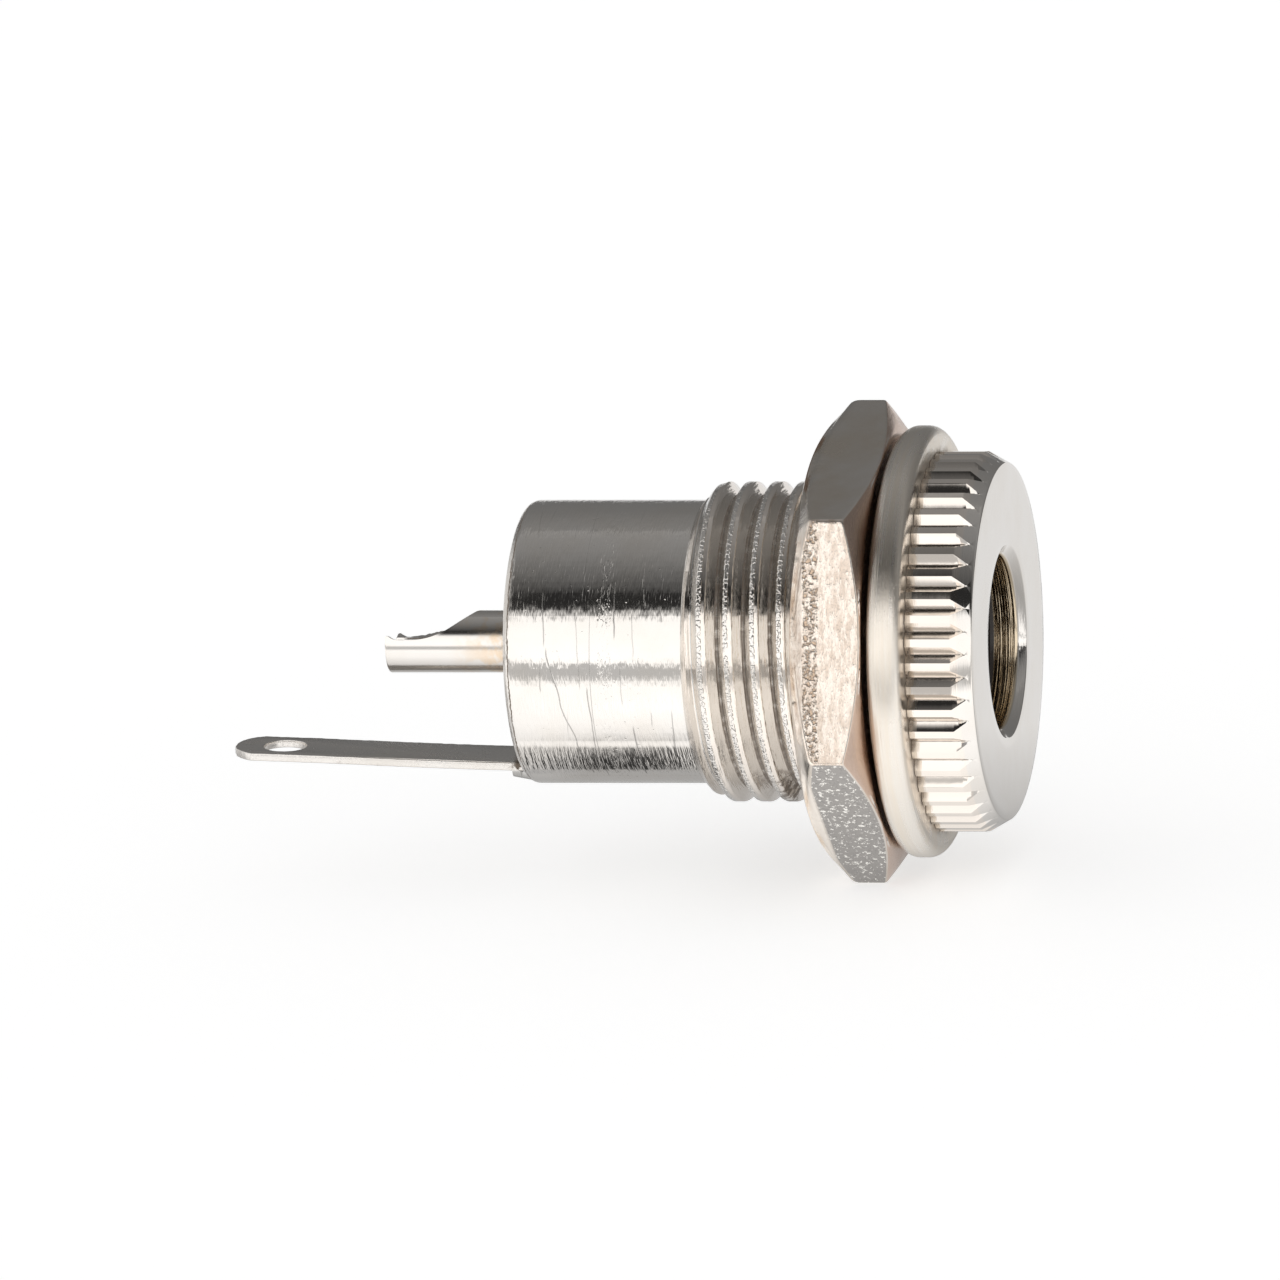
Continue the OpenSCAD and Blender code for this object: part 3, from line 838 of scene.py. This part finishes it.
def shell_wobble(points):
    """Very small unevenness of the turned surfaces."""
    r = np.hypot(points[:, 1], points[:, 2])
    angle = np.arctan2(-points[:, 1], points[:, 2])
    wave = np.sin(3 * angle + points[:, 0] * 900.0) * np.sin(5 * angle - points[:, 0] * 1300.0)
    lobe = (points[:, 0] < -8.9 * MM) & (r > 5.0 * MM)
    scale = np.where(lobe, 1.0 + 0.0006 * wave, 1.0)
    points[:, 1] *= scale
    points[:, 2] *= scale
    return points


def build_washer():
    sizes = bpy.context.scene.jack_sizes
    theta = np.linspace(0.0, TAU, 257)
    hole = sizes.thread_d / 2 + 0.15 * MM
    outer = sizes.washer_d / 2
    edge = sizes.washer_edge
    ease = 0.06 * MM
    profile = [(0.0, hole + ease), (0.0, 0.5 * (hole + outer)), (0.0, outer - edge)]
    profile += [(edge * (math.cos(a) - 1), outer - edge + edge * math.sin(a)) for a in np.linspace(0,
                                                                                                   math.pi / 2, 10)[1:]]
    profile += [(-sizes.washer_t + edge * (1 - math.sin(a)), outer - edge + edge * math.cos(a))
                for a in np.linspace(0, math.pi / 2, 10)]
    profile += [(-sizes.washer_t, 0.5 * (hole + outer)), (-sizes.washer_t, hole + ease)]
    profile += [(-sizes.washer_t + 0.3 * ease, hole + 0.3 * ease), (-sizes.washer_t + ease, hole),
                (-ease, hole)]
    profile += [(-0.3 * ease, hole + 0.3 * ease), profile[0]]
    return make_object("jack_washer", [patch([place(x, r, theta) for x, r in profile])])


def hexagon(apothem, angle, fillet):
    """Radius of a hexagon with rounded corners; the angle is from a corner."""
    from_corner = np.mod(angle + math.pi / 6, math.pi / 3) - math.pi / 6
    from_flat = math.pi / 6 - np.abs(from_corner)
    centre = (apothem - fillet) / math.cos(math.pi / 6)
    tangent = math.atan(centre * 0.5 / apothem)
    rounded = centre * np.cos(from_corner) + np.sqrt(
        np.maximum(0.0, fillet ** 2 - (centre * np.sin(from_corner)) ** 2))
    return np.where(from_flat > tangent, rounded, apothem / np.cos(from_flat))


def build_nut():
    sizes = bpy.context.scene.jack_sizes
    fine = [0.0, 0.18, 0.36, 0.54, 0.72, 1.0, 1.5] + [3.0 + 1.5 * k for k in range(19)]
    sector = sorted(set(fine + [60.0 - value for value in fine]))[:-1]
    turned = np.radians(np.array([60.0 * k + value for k in range(6) for value in sector] + [360.0]))
    theta = turned + sizes.nut_turn
    front = -sizes.washer_t - sizes.nut_gap
    back = front - sizes.nut_t
    outer = hexagon(sizes.nut_af / 2, turned, 0.22 * MM)
    rim = sizes.nut_face_d / 2
    slope = math.tan(sizes.nut_chamfer)
    drop = np.maximum(0.0, outer - rim) * slope
    ease = 0.05 * MM
    countersink = 0.36 * MM
    entry = sizes.thread_d / 2 + 0.42 * MM

    def bore(x, angle):
        return thread_radius(sizes, x, angle, 0.06 * MM)

    def side(face, sign, worn):
        """Rings from the bore out over one face to the flats; sign is +1 for the back."""
        far = face + sign * countersink
        return [
            place(far, bore(np.full_like(theta, far), theta), theta),
            place(face + sign * ease, entry - ease, theta),
            place(face, entry + ease, theta),
            place(face, (entry + rim) / 2, theta),
            place(face, rim - 2 * ease, theta),
            place(face + sign * 0.12 * ease, rim - ease, theta),
            place(face + sign * slope * 0.4 * ease, rim + 0.2 * ease, theta),
            place(face + sign * (drop * 0.5 + slope * 0.2 * ease), rim + (outer - rim) * 0.55, theta),
        ] + [
            place(face + sign * (drop + worn * x), np.maximum(rim + 0.01 * MM, outer - worn * inset), theta)
            for x, inset in ((0.0, 0.55), (0.12, 0.36), (0.3, 0.19), (0.55, 0.07), (0.8, 0.015), (1.0, 0.0))
        ]

    back_edge, front_edge = 0.42 * MM, 0.14 * MM
    rings = side(back, 1.0, back_edge)
    for t in (0.2, 0.4, 0.6, 0.8):
        low, high = back + drop + back_edge, front - drop - front_edge
        rings.append(place(low + (high - low) * t, outer, theta))
    rings += side(front, -1.0, front_edge)[::-1]
    wound = wound_patch(sizes, theta, back + countersink, front - countersink, bore)
    return make_object("jack_nut", [patch(rings), wound], sharp=24.0)


def build_pin():
    sizes = bpy.context.scene.jack_sizes
    outer, inner = sizes.tail_d / 2, sizes.cup_d / 2
    back = -sizes.thread_len - sizes.barrel_len
    tail_x = back - sizes.tail_len
    cup_x = tail_x + sizes.cup_depth
    slope = math.radians(33.5)
    turn = math.radians(12.0)
    bend_x = tail_x + sizes.cut_level
    rise_x = bend_x + sizes.cut_r * math.sin(slope)
    rise_z = sizes.cut_height + sizes.cut_r * (1 - math.cos(slope))

    def cut(x):
        if x < bend_x:
            return sizes.cut_height
        if x < rise_x:
            return sizes.cut_height + sizes.cut_r - math.sqrt(sizes.cut_r ** 2 - (x - bend_x) ** 2)
        return rise_z + (x - rise_x) * math.tan(slope)

    def burr(x):
        """Height of the ragged edge that the cutter left on the far side."""
        t = (x - tail_x) / MM
        bumps = ((0.05, 0.2, 0.16), (1.35, 0.38, 0.16), (1.75, 0.2, 0.09), (0.75, 0.3, 0.05),
                 (2.4, 0.4, 0.05))
        height = sum(h * math.exp(-((t - c) / w) ** 2) for c, w, h in bumps)
        return MM * height * (0.85 + 0.3 * noise.noise(Vector((9.0 * t, 3.1, 0.7))))

    def section(x, shrink=0.0, hollow=None):
        """One closed loop of the tail: down the outside, across the cut edge and back inside."""
        big = outer - shrink
        small = inner + shrink if hollow is None else hollow
        level = min(cut(x) - shrink, big * 0.99999)
        start = math.asin(level / big)
        angles = np.linspace(start, -math.pi - start, 49)
        outside = np.stack((big * np.cos(angles), big * np.sin(angles)), axis=-1)
        gap = math.asin(min(0.99999, max(-0.99, level / small))) if level < small else math.asin(0.99999)
        angles = np.linspace(-math.pi - gap, gap, 41)
        inside = np.stack((small * np.cos(angles), small * np.sin(angles)), axis=-1)
        lip = min(level, big)
        corner = max(abs(inside[0][0]), 1e-9)
        far = np.stack((np.linspace(outside[-1][0], -corner, 6), np.full(6, lip)), axis=-1)
        near = np.stack((np.linspace(corner, outside[0][0], 6), np.full(6, lip)), axis=-1)
        loop = np.concatenate((outside[:-1], far, inside, near))
        ragged = burr(x) * np.array(
            [max(0.0, 1 - abs(k - 49.0) / 3.0) if 45 <= k <= 54 else 0.0 for k in range(len(loop))])
        end_burr = 0.15 * MM * math.exp(-(((x - tail_x) / MM - 0.05) / 0.2) ** 2)
        loop[:, 1] += end_burr * np.array([1.0 if k == 0 or k >= 97 else 0.0 for k in range(len(loop))])
        loop[:, 1] += ragged
        loop[:, 0] -= 0.25 * ragged
        y = -(loop[:, 0] * math.cos(turn) - loop[:, 1] * math.sin(turn))
        z = loop[:, 0] * math.sin(turn) + loop[:, 1] * math.cos(turn)
        return np.stack((np.full_like(y, x), y, z), axis=-1)

    ease = 0.03 * MM
    xs = [tail_x + ease] + list(np.linspace(tail_x + 0.06 * MM, tail_x + 3.4 * MM, 70)) + [cup_x - 0.3 * MM,
                                                                                           cup_x]
    rings = [section(tail_x, 0.5 * ease)] + [section(x) for x in xs]
    rings += [section(cup_x, 0.0, 0.004 * MM), section(back + 0.3 * MM, 0.0, 0.004 * MM)]
    loop = patch(rings)
    # close the loop round, and close the end ring between its outside and its inside
    loop = np.concatenate((loop, loop[:, :1]), axis=1)
    first = rings[0]
    inside = first[54:95][::-1]
    pick = np.linspace(0, 40, 49)
    end_in = np.stack([np.interp(pick, np.arange(41), inside[:, axis]) for axis in range(3)], axis=-1)
    tail = make_object("pin_tail", [loop, patch([first[:49], end_in])], weld=2e-9, sharp=40.0)

    theta = np.linspace(0.0, TAU, 97)
    pin_r = sizes.pin_d / 2
    tip = sizes.flange_t - sizes.pin_recess
    floor_x = sizes.flange_t - 10.5 * MM
    collar_x = floor_x - 1.4 * MM
    profile = [(back + 0.28 * MM, 0.0), (back + 0.28 * MM, outer), (collar_x - 1.6 * MM, outer)]
    profile += [(collar_x - 1.6 * MM, 1.7 * MM), (collar_x, 1.7 * MM), (collar_x, 1.3 * MM),
                (floor_x, 1.3 * MM), (floor_x, pin_r)]
    profile += [(x, pin_r) for x in np.linspace(floor_x, tip - pin_r, 5)[1:]]
    profile += [(tip - pin_r + pin_r * math.sin(a), pin_r * math.cos(a)) for a in np.linspace(0, math.pi / 2,
                                                                                              14)[1:]]
    body = make_object("pin_body", [patch([place(x, max(r, 0.0), theta) for x, r in profile])])
    return join_meshes("jack_pin", [tail, body])


def build_contact():
    sizes = bpy.context.scene.jack_sizes
    half_w, half_t = sizes.strip_w / 2, sizes.strip_t / 2
    back = -sizes.thread_len - sizes.barrel_len
    cavity_r = sizes.barrel_d / 2 - sizes.wall_t
    strip_z = half_t - math.sqrt((cavity_r - 0.03 * MM) ** 2 - half_w ** 2)
    rise = math.radians(2.0)

    # the spring: a strip bowed up into the socket
    tip_x = sizes.flange_t - 3.9 * MM
    root_x = tip_x - 5.8 * MM
    bow_x = tip_x - 1.75 * MM
    bow_z = -2.65 * MM - half_t
    end_z = -3.0 * MM - half_t - 0.1 * MM

    def height(x):
        if x > bow_x:
            return bow_z + (end_z - bow_z) * (1 - math.cos(math.pi / 2 * (x - bow_x) / (tip_x - bow_x)))
        if x > root_x:
            return bow_z + (strip_z - bow_z) * (1 - math.cos(math.pi * (bow_x - x) / (bow_x - root_x))) / 2
        return strip_z

    ease = 0.04 * MM
    eased = [(ease, 0.0), (0.3 * ease, 0.3 * ease), (0.0, ease)]
    corners = []
    for a, b in ((1, 1), (1, -1), (-1, -1), (-1, 1)):
        corners += [(a * (half_w - u), b * (half_t - v)) for u, v in (eased if a == b else eased[::-1])]
    corners.append(corners[0])
    rings = []
    for x in list(np.linspace(tip_x, root_x, 48)) + [root_x - 0.4 * MM, -12.0 * MM, back, back - 0.25 * MM]:
        tilt = math.atan((height(x + 1e-5) - height(x - 1e-5)) / 2e-5)
        base = height(x) + max(0.0, back - x) * math.tan(rise)
        rings.append([(x - b * math.sin(tilt), a, base + b * math.cos(tilt)) for a, b in corners])
    middle = np.mean(np.array(rings[0]), axis=0)
    cap = [[tuple(middle)] * len(corners), rings[0]]
    strip = make_object("contact_strip", [patch(rings), patch(cap)])

    # the flat tab: a blanked outline with its eye, given thickness and bevelled edges
    curve = bpy.data.curves.new("tab_outline", "CURVE")
    curve.dimensions = "2D"
    curve.fill_mode = "BOTH"
    bevel = 0.035 * MM
    curve.extrude = half_t - bevel
    curve.bevel_depth = bevel
    curve.bevel_resolution = 2
    curve.offset = -bevel

    def ragged(t, seed, size):
        return size * MM * noise.noise(Vector((t, seed, 0.3)))

    outline = []
    tip_angle = math.asin(half_w / sizes.tip_r)
    centre = sizes.tip_r - sizes.tab_len
    join = centre - sizes.tip_r * math.cos(tip_angle)
    for x in np.arange(0.0, join, -0.09 * MM):
        outline.append((x, -half_w + ragged(x / MM * 4.0, 1.7, 0.03)))
    for a in np.linspace(-tip_angle, tip_angle, 33):
        wear = ragged(a * 9.0, 4.2, 0.03)
        outline.append((centre - (sizes.tip_r + wear) * math.cos(a), (sizes.tip_r + wear) * math.sin(a)))
    for x in np.arange(0.0, join, -0.09 * MM)[::-1]:
        outline.append((x, half_w + ragged(x / MM * 4.0, 8.3, 0.05)))
    eye_x = sizes.eye_inset - sizes.tab_len
    eye = []
    for a in np.linspace(0.0, TAU, 65)[:-1]:
        wear = ragged(math.cos(a) * 4.0, 3.3 + math.sin(a) * 4.0, 0.02)
        eye.append((eye_x + (sizes.eye_d / 2 + wear) * math.cos(a), (sizes.eye_d / 2 + wear) * math.sin(a)))
    for points in (outline, eye):
        spline = curve.splines.new("POLY")
        spline.points.add(len(points) - 1)
        for target, (x, y) in zip(spline.points, points):
            target.co = (x, y, 0.0, 1.0)
        spline.use_cyclic_u = True
    holder = bpy.data.objects.new("tab_curve", curve)
    bpy.context.scene.collection.objects.link(holder)
    bpy.context.view_layer.update()
    evaluated = holder.evaluated_get(bpy.context.evaluated_depsgraph_get())
    mesh = bpy.data.meshes.new_from_object(evaluated)
    bpy.data.objects.remove(holder)
    for vert in mesh.vertices:
        x, y, z = vert.co
        bow = 0.02 * MM * math.sin(x / MM * 0.5)
        vert.co = (
            back + x * math.cos(rise) + z * math.sin(rise),
            y,
            strip_z - x * math.sin(rise) + z * math.cos(rise) + bow,
        )
    tab = settle("contact_tab", mesh, weld=1e-7)
    return join_meshes("jack_contact", [strip, tab])


# ---------------------------------------------------------------- stage


def build_stage():
    studio = bpy.context.scene.jack_studio
    lowest = CAD_BOX[0][2]
    mesh = bpy.data.meshes.new("floor")
    grid = bmesh.new()
    bmesh.ops.create_grid(grid, x_segments=1, y_segments=1, size=3.0)
    grid.to_mesh(mesh)
    grid.free()
    floor = bpy.data.objects.new("floor", mesh)
    floor.location = (0.0, 0.0, lowest - 0.02 * MM)
    bpy.context.scene.collection.objects.link(floor)
    mesh.materials.append(floor_material())
    build_world()
    build_camera(studio)
    bpy.context.scene.view_settings.view_transform = "Standard"


def bands(kit, value, stops):
    """Brightness along a line, from (place, level) pairs; level may pass 1."""
    curve = kit.add("ShaderNodeFloatCurve")
    low, high = stops[0][0], stops[-1][0]
    top = max(level for _, level in stops)
    points = curve.mapping.curves[0].points
    while len(points) < len(stops):
        points.new(0.5, 0.5)
    for point, (at, level) in zip(points, stops):
        point.location = ((at - low) / (high - low), level / top)
        point.handle_type = "VECTOR"
    curve.mapping.update()
    scaled = kit.math("DIVIDE", kit.minus(value, low), high - low, clamp=True)
    kit.link(scaled, curve.inputs["Value"])
    return kit.times(curve.outputs[0], top)


FILL_LEVEL = 0.62  # soft light on the dull surfaces
FLOOR_LIFT = 0.56  # glow that brings the open floor up to white

# Brightness seen in the metal, as (millimetres across the floor, level) or (degrees round the axis, level)
# the dark strip from about -5 to -0.6 mm across, under the jack, is a painted shadow of the jack, seen only in the
# metal
FLOOR_BANDS = (
    (-200, 1.35), (-160, 1.30), (-112, 0.62), (-36, 0.62), (-27, 1.38), (-14, 1.45), (-9, 1.25), (-7.2, 1.1),
    (-6.3, 0.85),
    (-5, 0.42), (-4.2, 0.10), (-2.4, 0.02), (-1.3, 0.04), (-0.6, 0.45), (3, 0.44), (9, 0.60), (20, 0.84),
    (200, 0.84),
)
FRONT_BANDS = (
    (-200, 0.80), (-135, 0.75), (-42, 0.80), (-33, 1.20), (-20, 1.25), (-3, 1.20), (0.5, 0.74), (8, 0.72),
    (13, 0.76), (200, 0.76),
)
# the dip from about -3 mm across is a milder painted shadow of the jack
REAR_BANDS = (
    (-200, 1.35), (-160, 1.30), (-112, 0.62), (-36, 0.62), (-27, 1.38), (-9, 1.25), (-3, 0.9), (-0.6, 0.55),
    (3, 0.44), (9, 0.60),
    (20, 0.84), (200, 0.84),
)
SKY_BANDS = (
    (-180, 0.8), (0, 1.75), (34, 1.60), (37, 0.85), (39.5, 0.4), (42.5, 0.035), (53.5, 0.03), (57, 0.09),
    (63, 0.14),
    (72, 0.20), (82, 0.26), (92, 0.31), (105, 0.35), (112, 0.36), (115, 0.46), (118, 0.31), (130, 0.28),
    (146, 0.235),
    (165, 0.21), (180, 0.21),
)


def floor_material():
    """White to the camera; mirrored in the metal it is a white card with darker strips, one of them a painted shadow of
    the jack.
    """
    material = bpy.data.materials.new("floor_white")
    material.use_nodes = True
    tree = material.node_tree
    tree.nodes.clear()
    kit = Nodes(tree)
    path = kit.add("ShaderNodeLightPath")
    diffuse = kit.add("ShaderNodeBsdfDiffuse")
    diffuse.inputs["Color"].default_value = (0.9, 0.9, 0.9, 1.0)
    lift = kit.add("ShaderNodeEmission")
    kit.link(kit.times(path.outputs["Is Camera Ray"], FLOOR_LIFT), lift.inputs["Strength"])
    seen = kit.add("ShaderNodeAddShader")
    tree.links.new(diffuse.outputs[0], seen.inputs[0])
    tree.links.new(lift.outputs[0], seen.inputs[1])
    coords = kit.add("ShaderNodeSeparateXYZ")
    kit.link(kit.add("ShaderNodeTexCoord").outputs["Object"], coords.inputs[0])
    across = kit.times(coords.outputs[1], 1.0 / MM)
    along = kit.times(coords.outputs[0], 1.0 / MM)
    beside = kit.ramp(along, -1.5, 1.5)
    level = kit.blend(beside, bands(kit, across, FLOOR_BANDS), bands(kit, across, FRONT_BANDS))
    level = kit.blend(band(kit, along, -14.6, -9.7, 0.9), bands(kit, across, REAR_BANDS), level)
    card = kit.add("ShaderNodeEmission")
    kit.link(level, card.inputs["Strength"])
    shown = kit.add("ShaderNodeMixShader")
    kit.link(path.outputs["Is Glossy Ray"], shown.inputs[0])
    tree.links.new(seen.outputs[0], shown.inputs[1])
    tree.links.new(card.outputs[0], shown.inputs[2])
    output = kit.add("ShaderNodeOutputMaterial")
    tree.links.new(shown.outputs[0], output.inputs["Surface"])
    return material


def build_world():
    """Studio light as bands round the jack's axis: a wide white card in front, a dark gap, grey above."""
    world = bpy.data.worlds.new("studio")
    bpy.context.scene.world = world
    world.use_nodes = True
    world.node_tree.nodes.clear()
    kit = Nodes(world.node_tree)
    direction = kit.add("ShaderNodeSeparateXYZ")
    kit.link(kit.add("ShaderNodeTexCoord").outputs["Generated"], direction.inputs[0])
    angle = kit.math("ARCTAN2", direction.outputs[2], kit.times(direction.outputs[1], -1.0))
    degrees = kit.times(angle, 180.0 / math.pi)
    card = bands(kit, degrees, SKY_BANDS)
    beside = kit.ramp(direction.outputs[0], -0.85, -0.55, 0.95, 0.0)
    card = kit.most(card, beside)
    path = kit.add("ShaderNodeLightPath")
    rays = kit.most(path.outputs["Is Glossy Ray"], path.outputs["Is Transmission Ray"])
    level = kit.blend(path.outputs["Is Camera Ray"], kit.blend(rays, FILL_LEVEL, card), 1.0)
    background = kit.add("ShaderNodeBackground")
    kit.link(level, background.inputs["Strength"])
    output = kit.add("ShaderNodeOutputWorld")
    world.node_tree.links.new(background.outputs[0], output.inputs["Surface"])


def build_camera(studio):
    a, e = studio.azimuth, studio.elevation
    back = Vector((math.sin(a) * math.cos(e), -math.cos(a) * math.cos(e), math.sin(e)))
    axis = Vector((1.0, 0.0, 0.0))
    right = (axis - back * axis.dot(back)).normalized()
    up = back.cross(right)
    target = Vector((studio.middle_x, 0.0, 0.0)) + up * 0.05 * MM
    data = bpy.data.cameras.new("camera")
    data.sensor_width = 36.0
    data.lens = 36.0 * studio.distance / studio.view_width
    data.clip_end = 10.0
    data.clip_start = 0.01
    camera = bpy.data.objects.new("camera", data)
    place = Matrix((right, up, back)).transposed().to_4x4()
    place.translation = target + back * studio.distance
    camera.matrix_world = place
    bpy.context.scene.collection.objects.link(camera)
    bpy.context.scene.camera = camera


# ---------------------------------------------------------------- operators


class JACK_OT_stage(bpy.types.Operator):
    """Set up the floor, the light and the camera"""

    bl_idname = "jack.stage"
    bl_label = "Stage"

    def execute(self, context):
        build_stage()
        return {"FINISHED"}


class JACK_OT_shell(bpy.types.Operator):
    """Turn the shell: knurled flange, thread and barrel"""

    bl_idname = "jack.shell"
    bl_label = "Shell"

    def execute(self, context):
        finishes = context.scene.jack_finishes
        dress(build_shell(), "shell", metal(
            "bright_nickel", finishes.nickel, 0.07, scratched=True, mask=shell_dirt_and_painted_shade, relief=shell_relief,
            tone=shell_tint_and_painted_light))
        return {"FINISHED"}


class JACK_OT_fasteners(bpy.types.Operator):
    """Make the washer and the nut"""

    bl_idname = "jack.fasteners"
    bl_label = "Washer and nut"

    def execute(self, context):
        finishes = context.scene.jack_finishes
        dress(build_washer(), "washer", metal(
            "satin_nickel", finishes.satin, 0.24, pits=0.10, mask=washer_mask,
            relief=washer_relief, tone=washer_tone))
        dress(build_nut(), "hex_nut", metal(
            "nut_nickel", finishes.rough, 0.21, turned=0.0, pits=0.10, stain=0.5,
            relief=nut_relief, tone=nut_tint_and_painted_light))
        return {"FINISHED"}


class JACK_OT_contacts(bpy.types.Operator):
    """Make the centre pin and the sleeve contact with its tab"""

    bl_idname = "jack.contacts"
    bl_label = "Pin and tab"

    def execute(self, context):
        finishes = context.scene.jack_finishes
        dress(build_pin(), "centre_pin", metal(
            "pin_nickel", finishes.nickel, 0.14, mask=pin_mask, tone=pin_tone))
        dress(build_contact(), "sleeve_contact", metal(
            "tab_nickel", finishes.nickel, 0.24, turned=0.0, pits=0.25, mask=tab_mask))
        return {"FINISHED"}


class JACK_OT_insulator(bpy.types.Operator):
    """Give the insulator its plastic"""

    bl_idname = "jack.insulator"
    bl_label = "Insulator"

    def execute(self, context):
        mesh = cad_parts["insulator"].data
        mesh.materials.clear()
        mesh.materials.append(plastic("insulator_plastic", context.scene.jack_finishes.plastic))
        return {"FINISHED"}


class JACK_PT_panel(bpy.types.Panel):
    bl_label = "Power Jack"
    bl_idname = "JACK_PT_panel"
    bl_space_type = "VIEW_3D"
    bl_region_type = "UI"
    bl_category = "Power Jack"

    def draw(self, context):
        for operator in OPERATORS:
            self.layout.operator(operator.bl_idname)


OPERATORS = (JACK_OT_shell, JACK_OT_fasteners, JACK_OT_contacts, JACK_OT_insulator, JACK_OT_stage)


def register():
    for attribute, group in SETTINGS:
        bpy.utils.register_class(group)
        setattr(bpy.types.Scene, attribute, PointerProperty(type=group))
    for item in (*OPERATORS, JACK_PT_panel):
        bpy.utils.register_class(item)


def unregister():
    for item in reversed((*OPERATORS, JACK_PT_panel)):
        bpy.utils.unregister_class(item)
    for attribute, group in reversed(SETTINGS):
        delattr(bpy.types.Scene, attribute)
        bpy.utils.unregister_class(group)


def main():
    register()
    for name in ("shell", "fasteners", "contacts", "insulator", "stage"):
        getattr(bpy.ops.jack, name)()


if __name__ == "__main__":
    main()
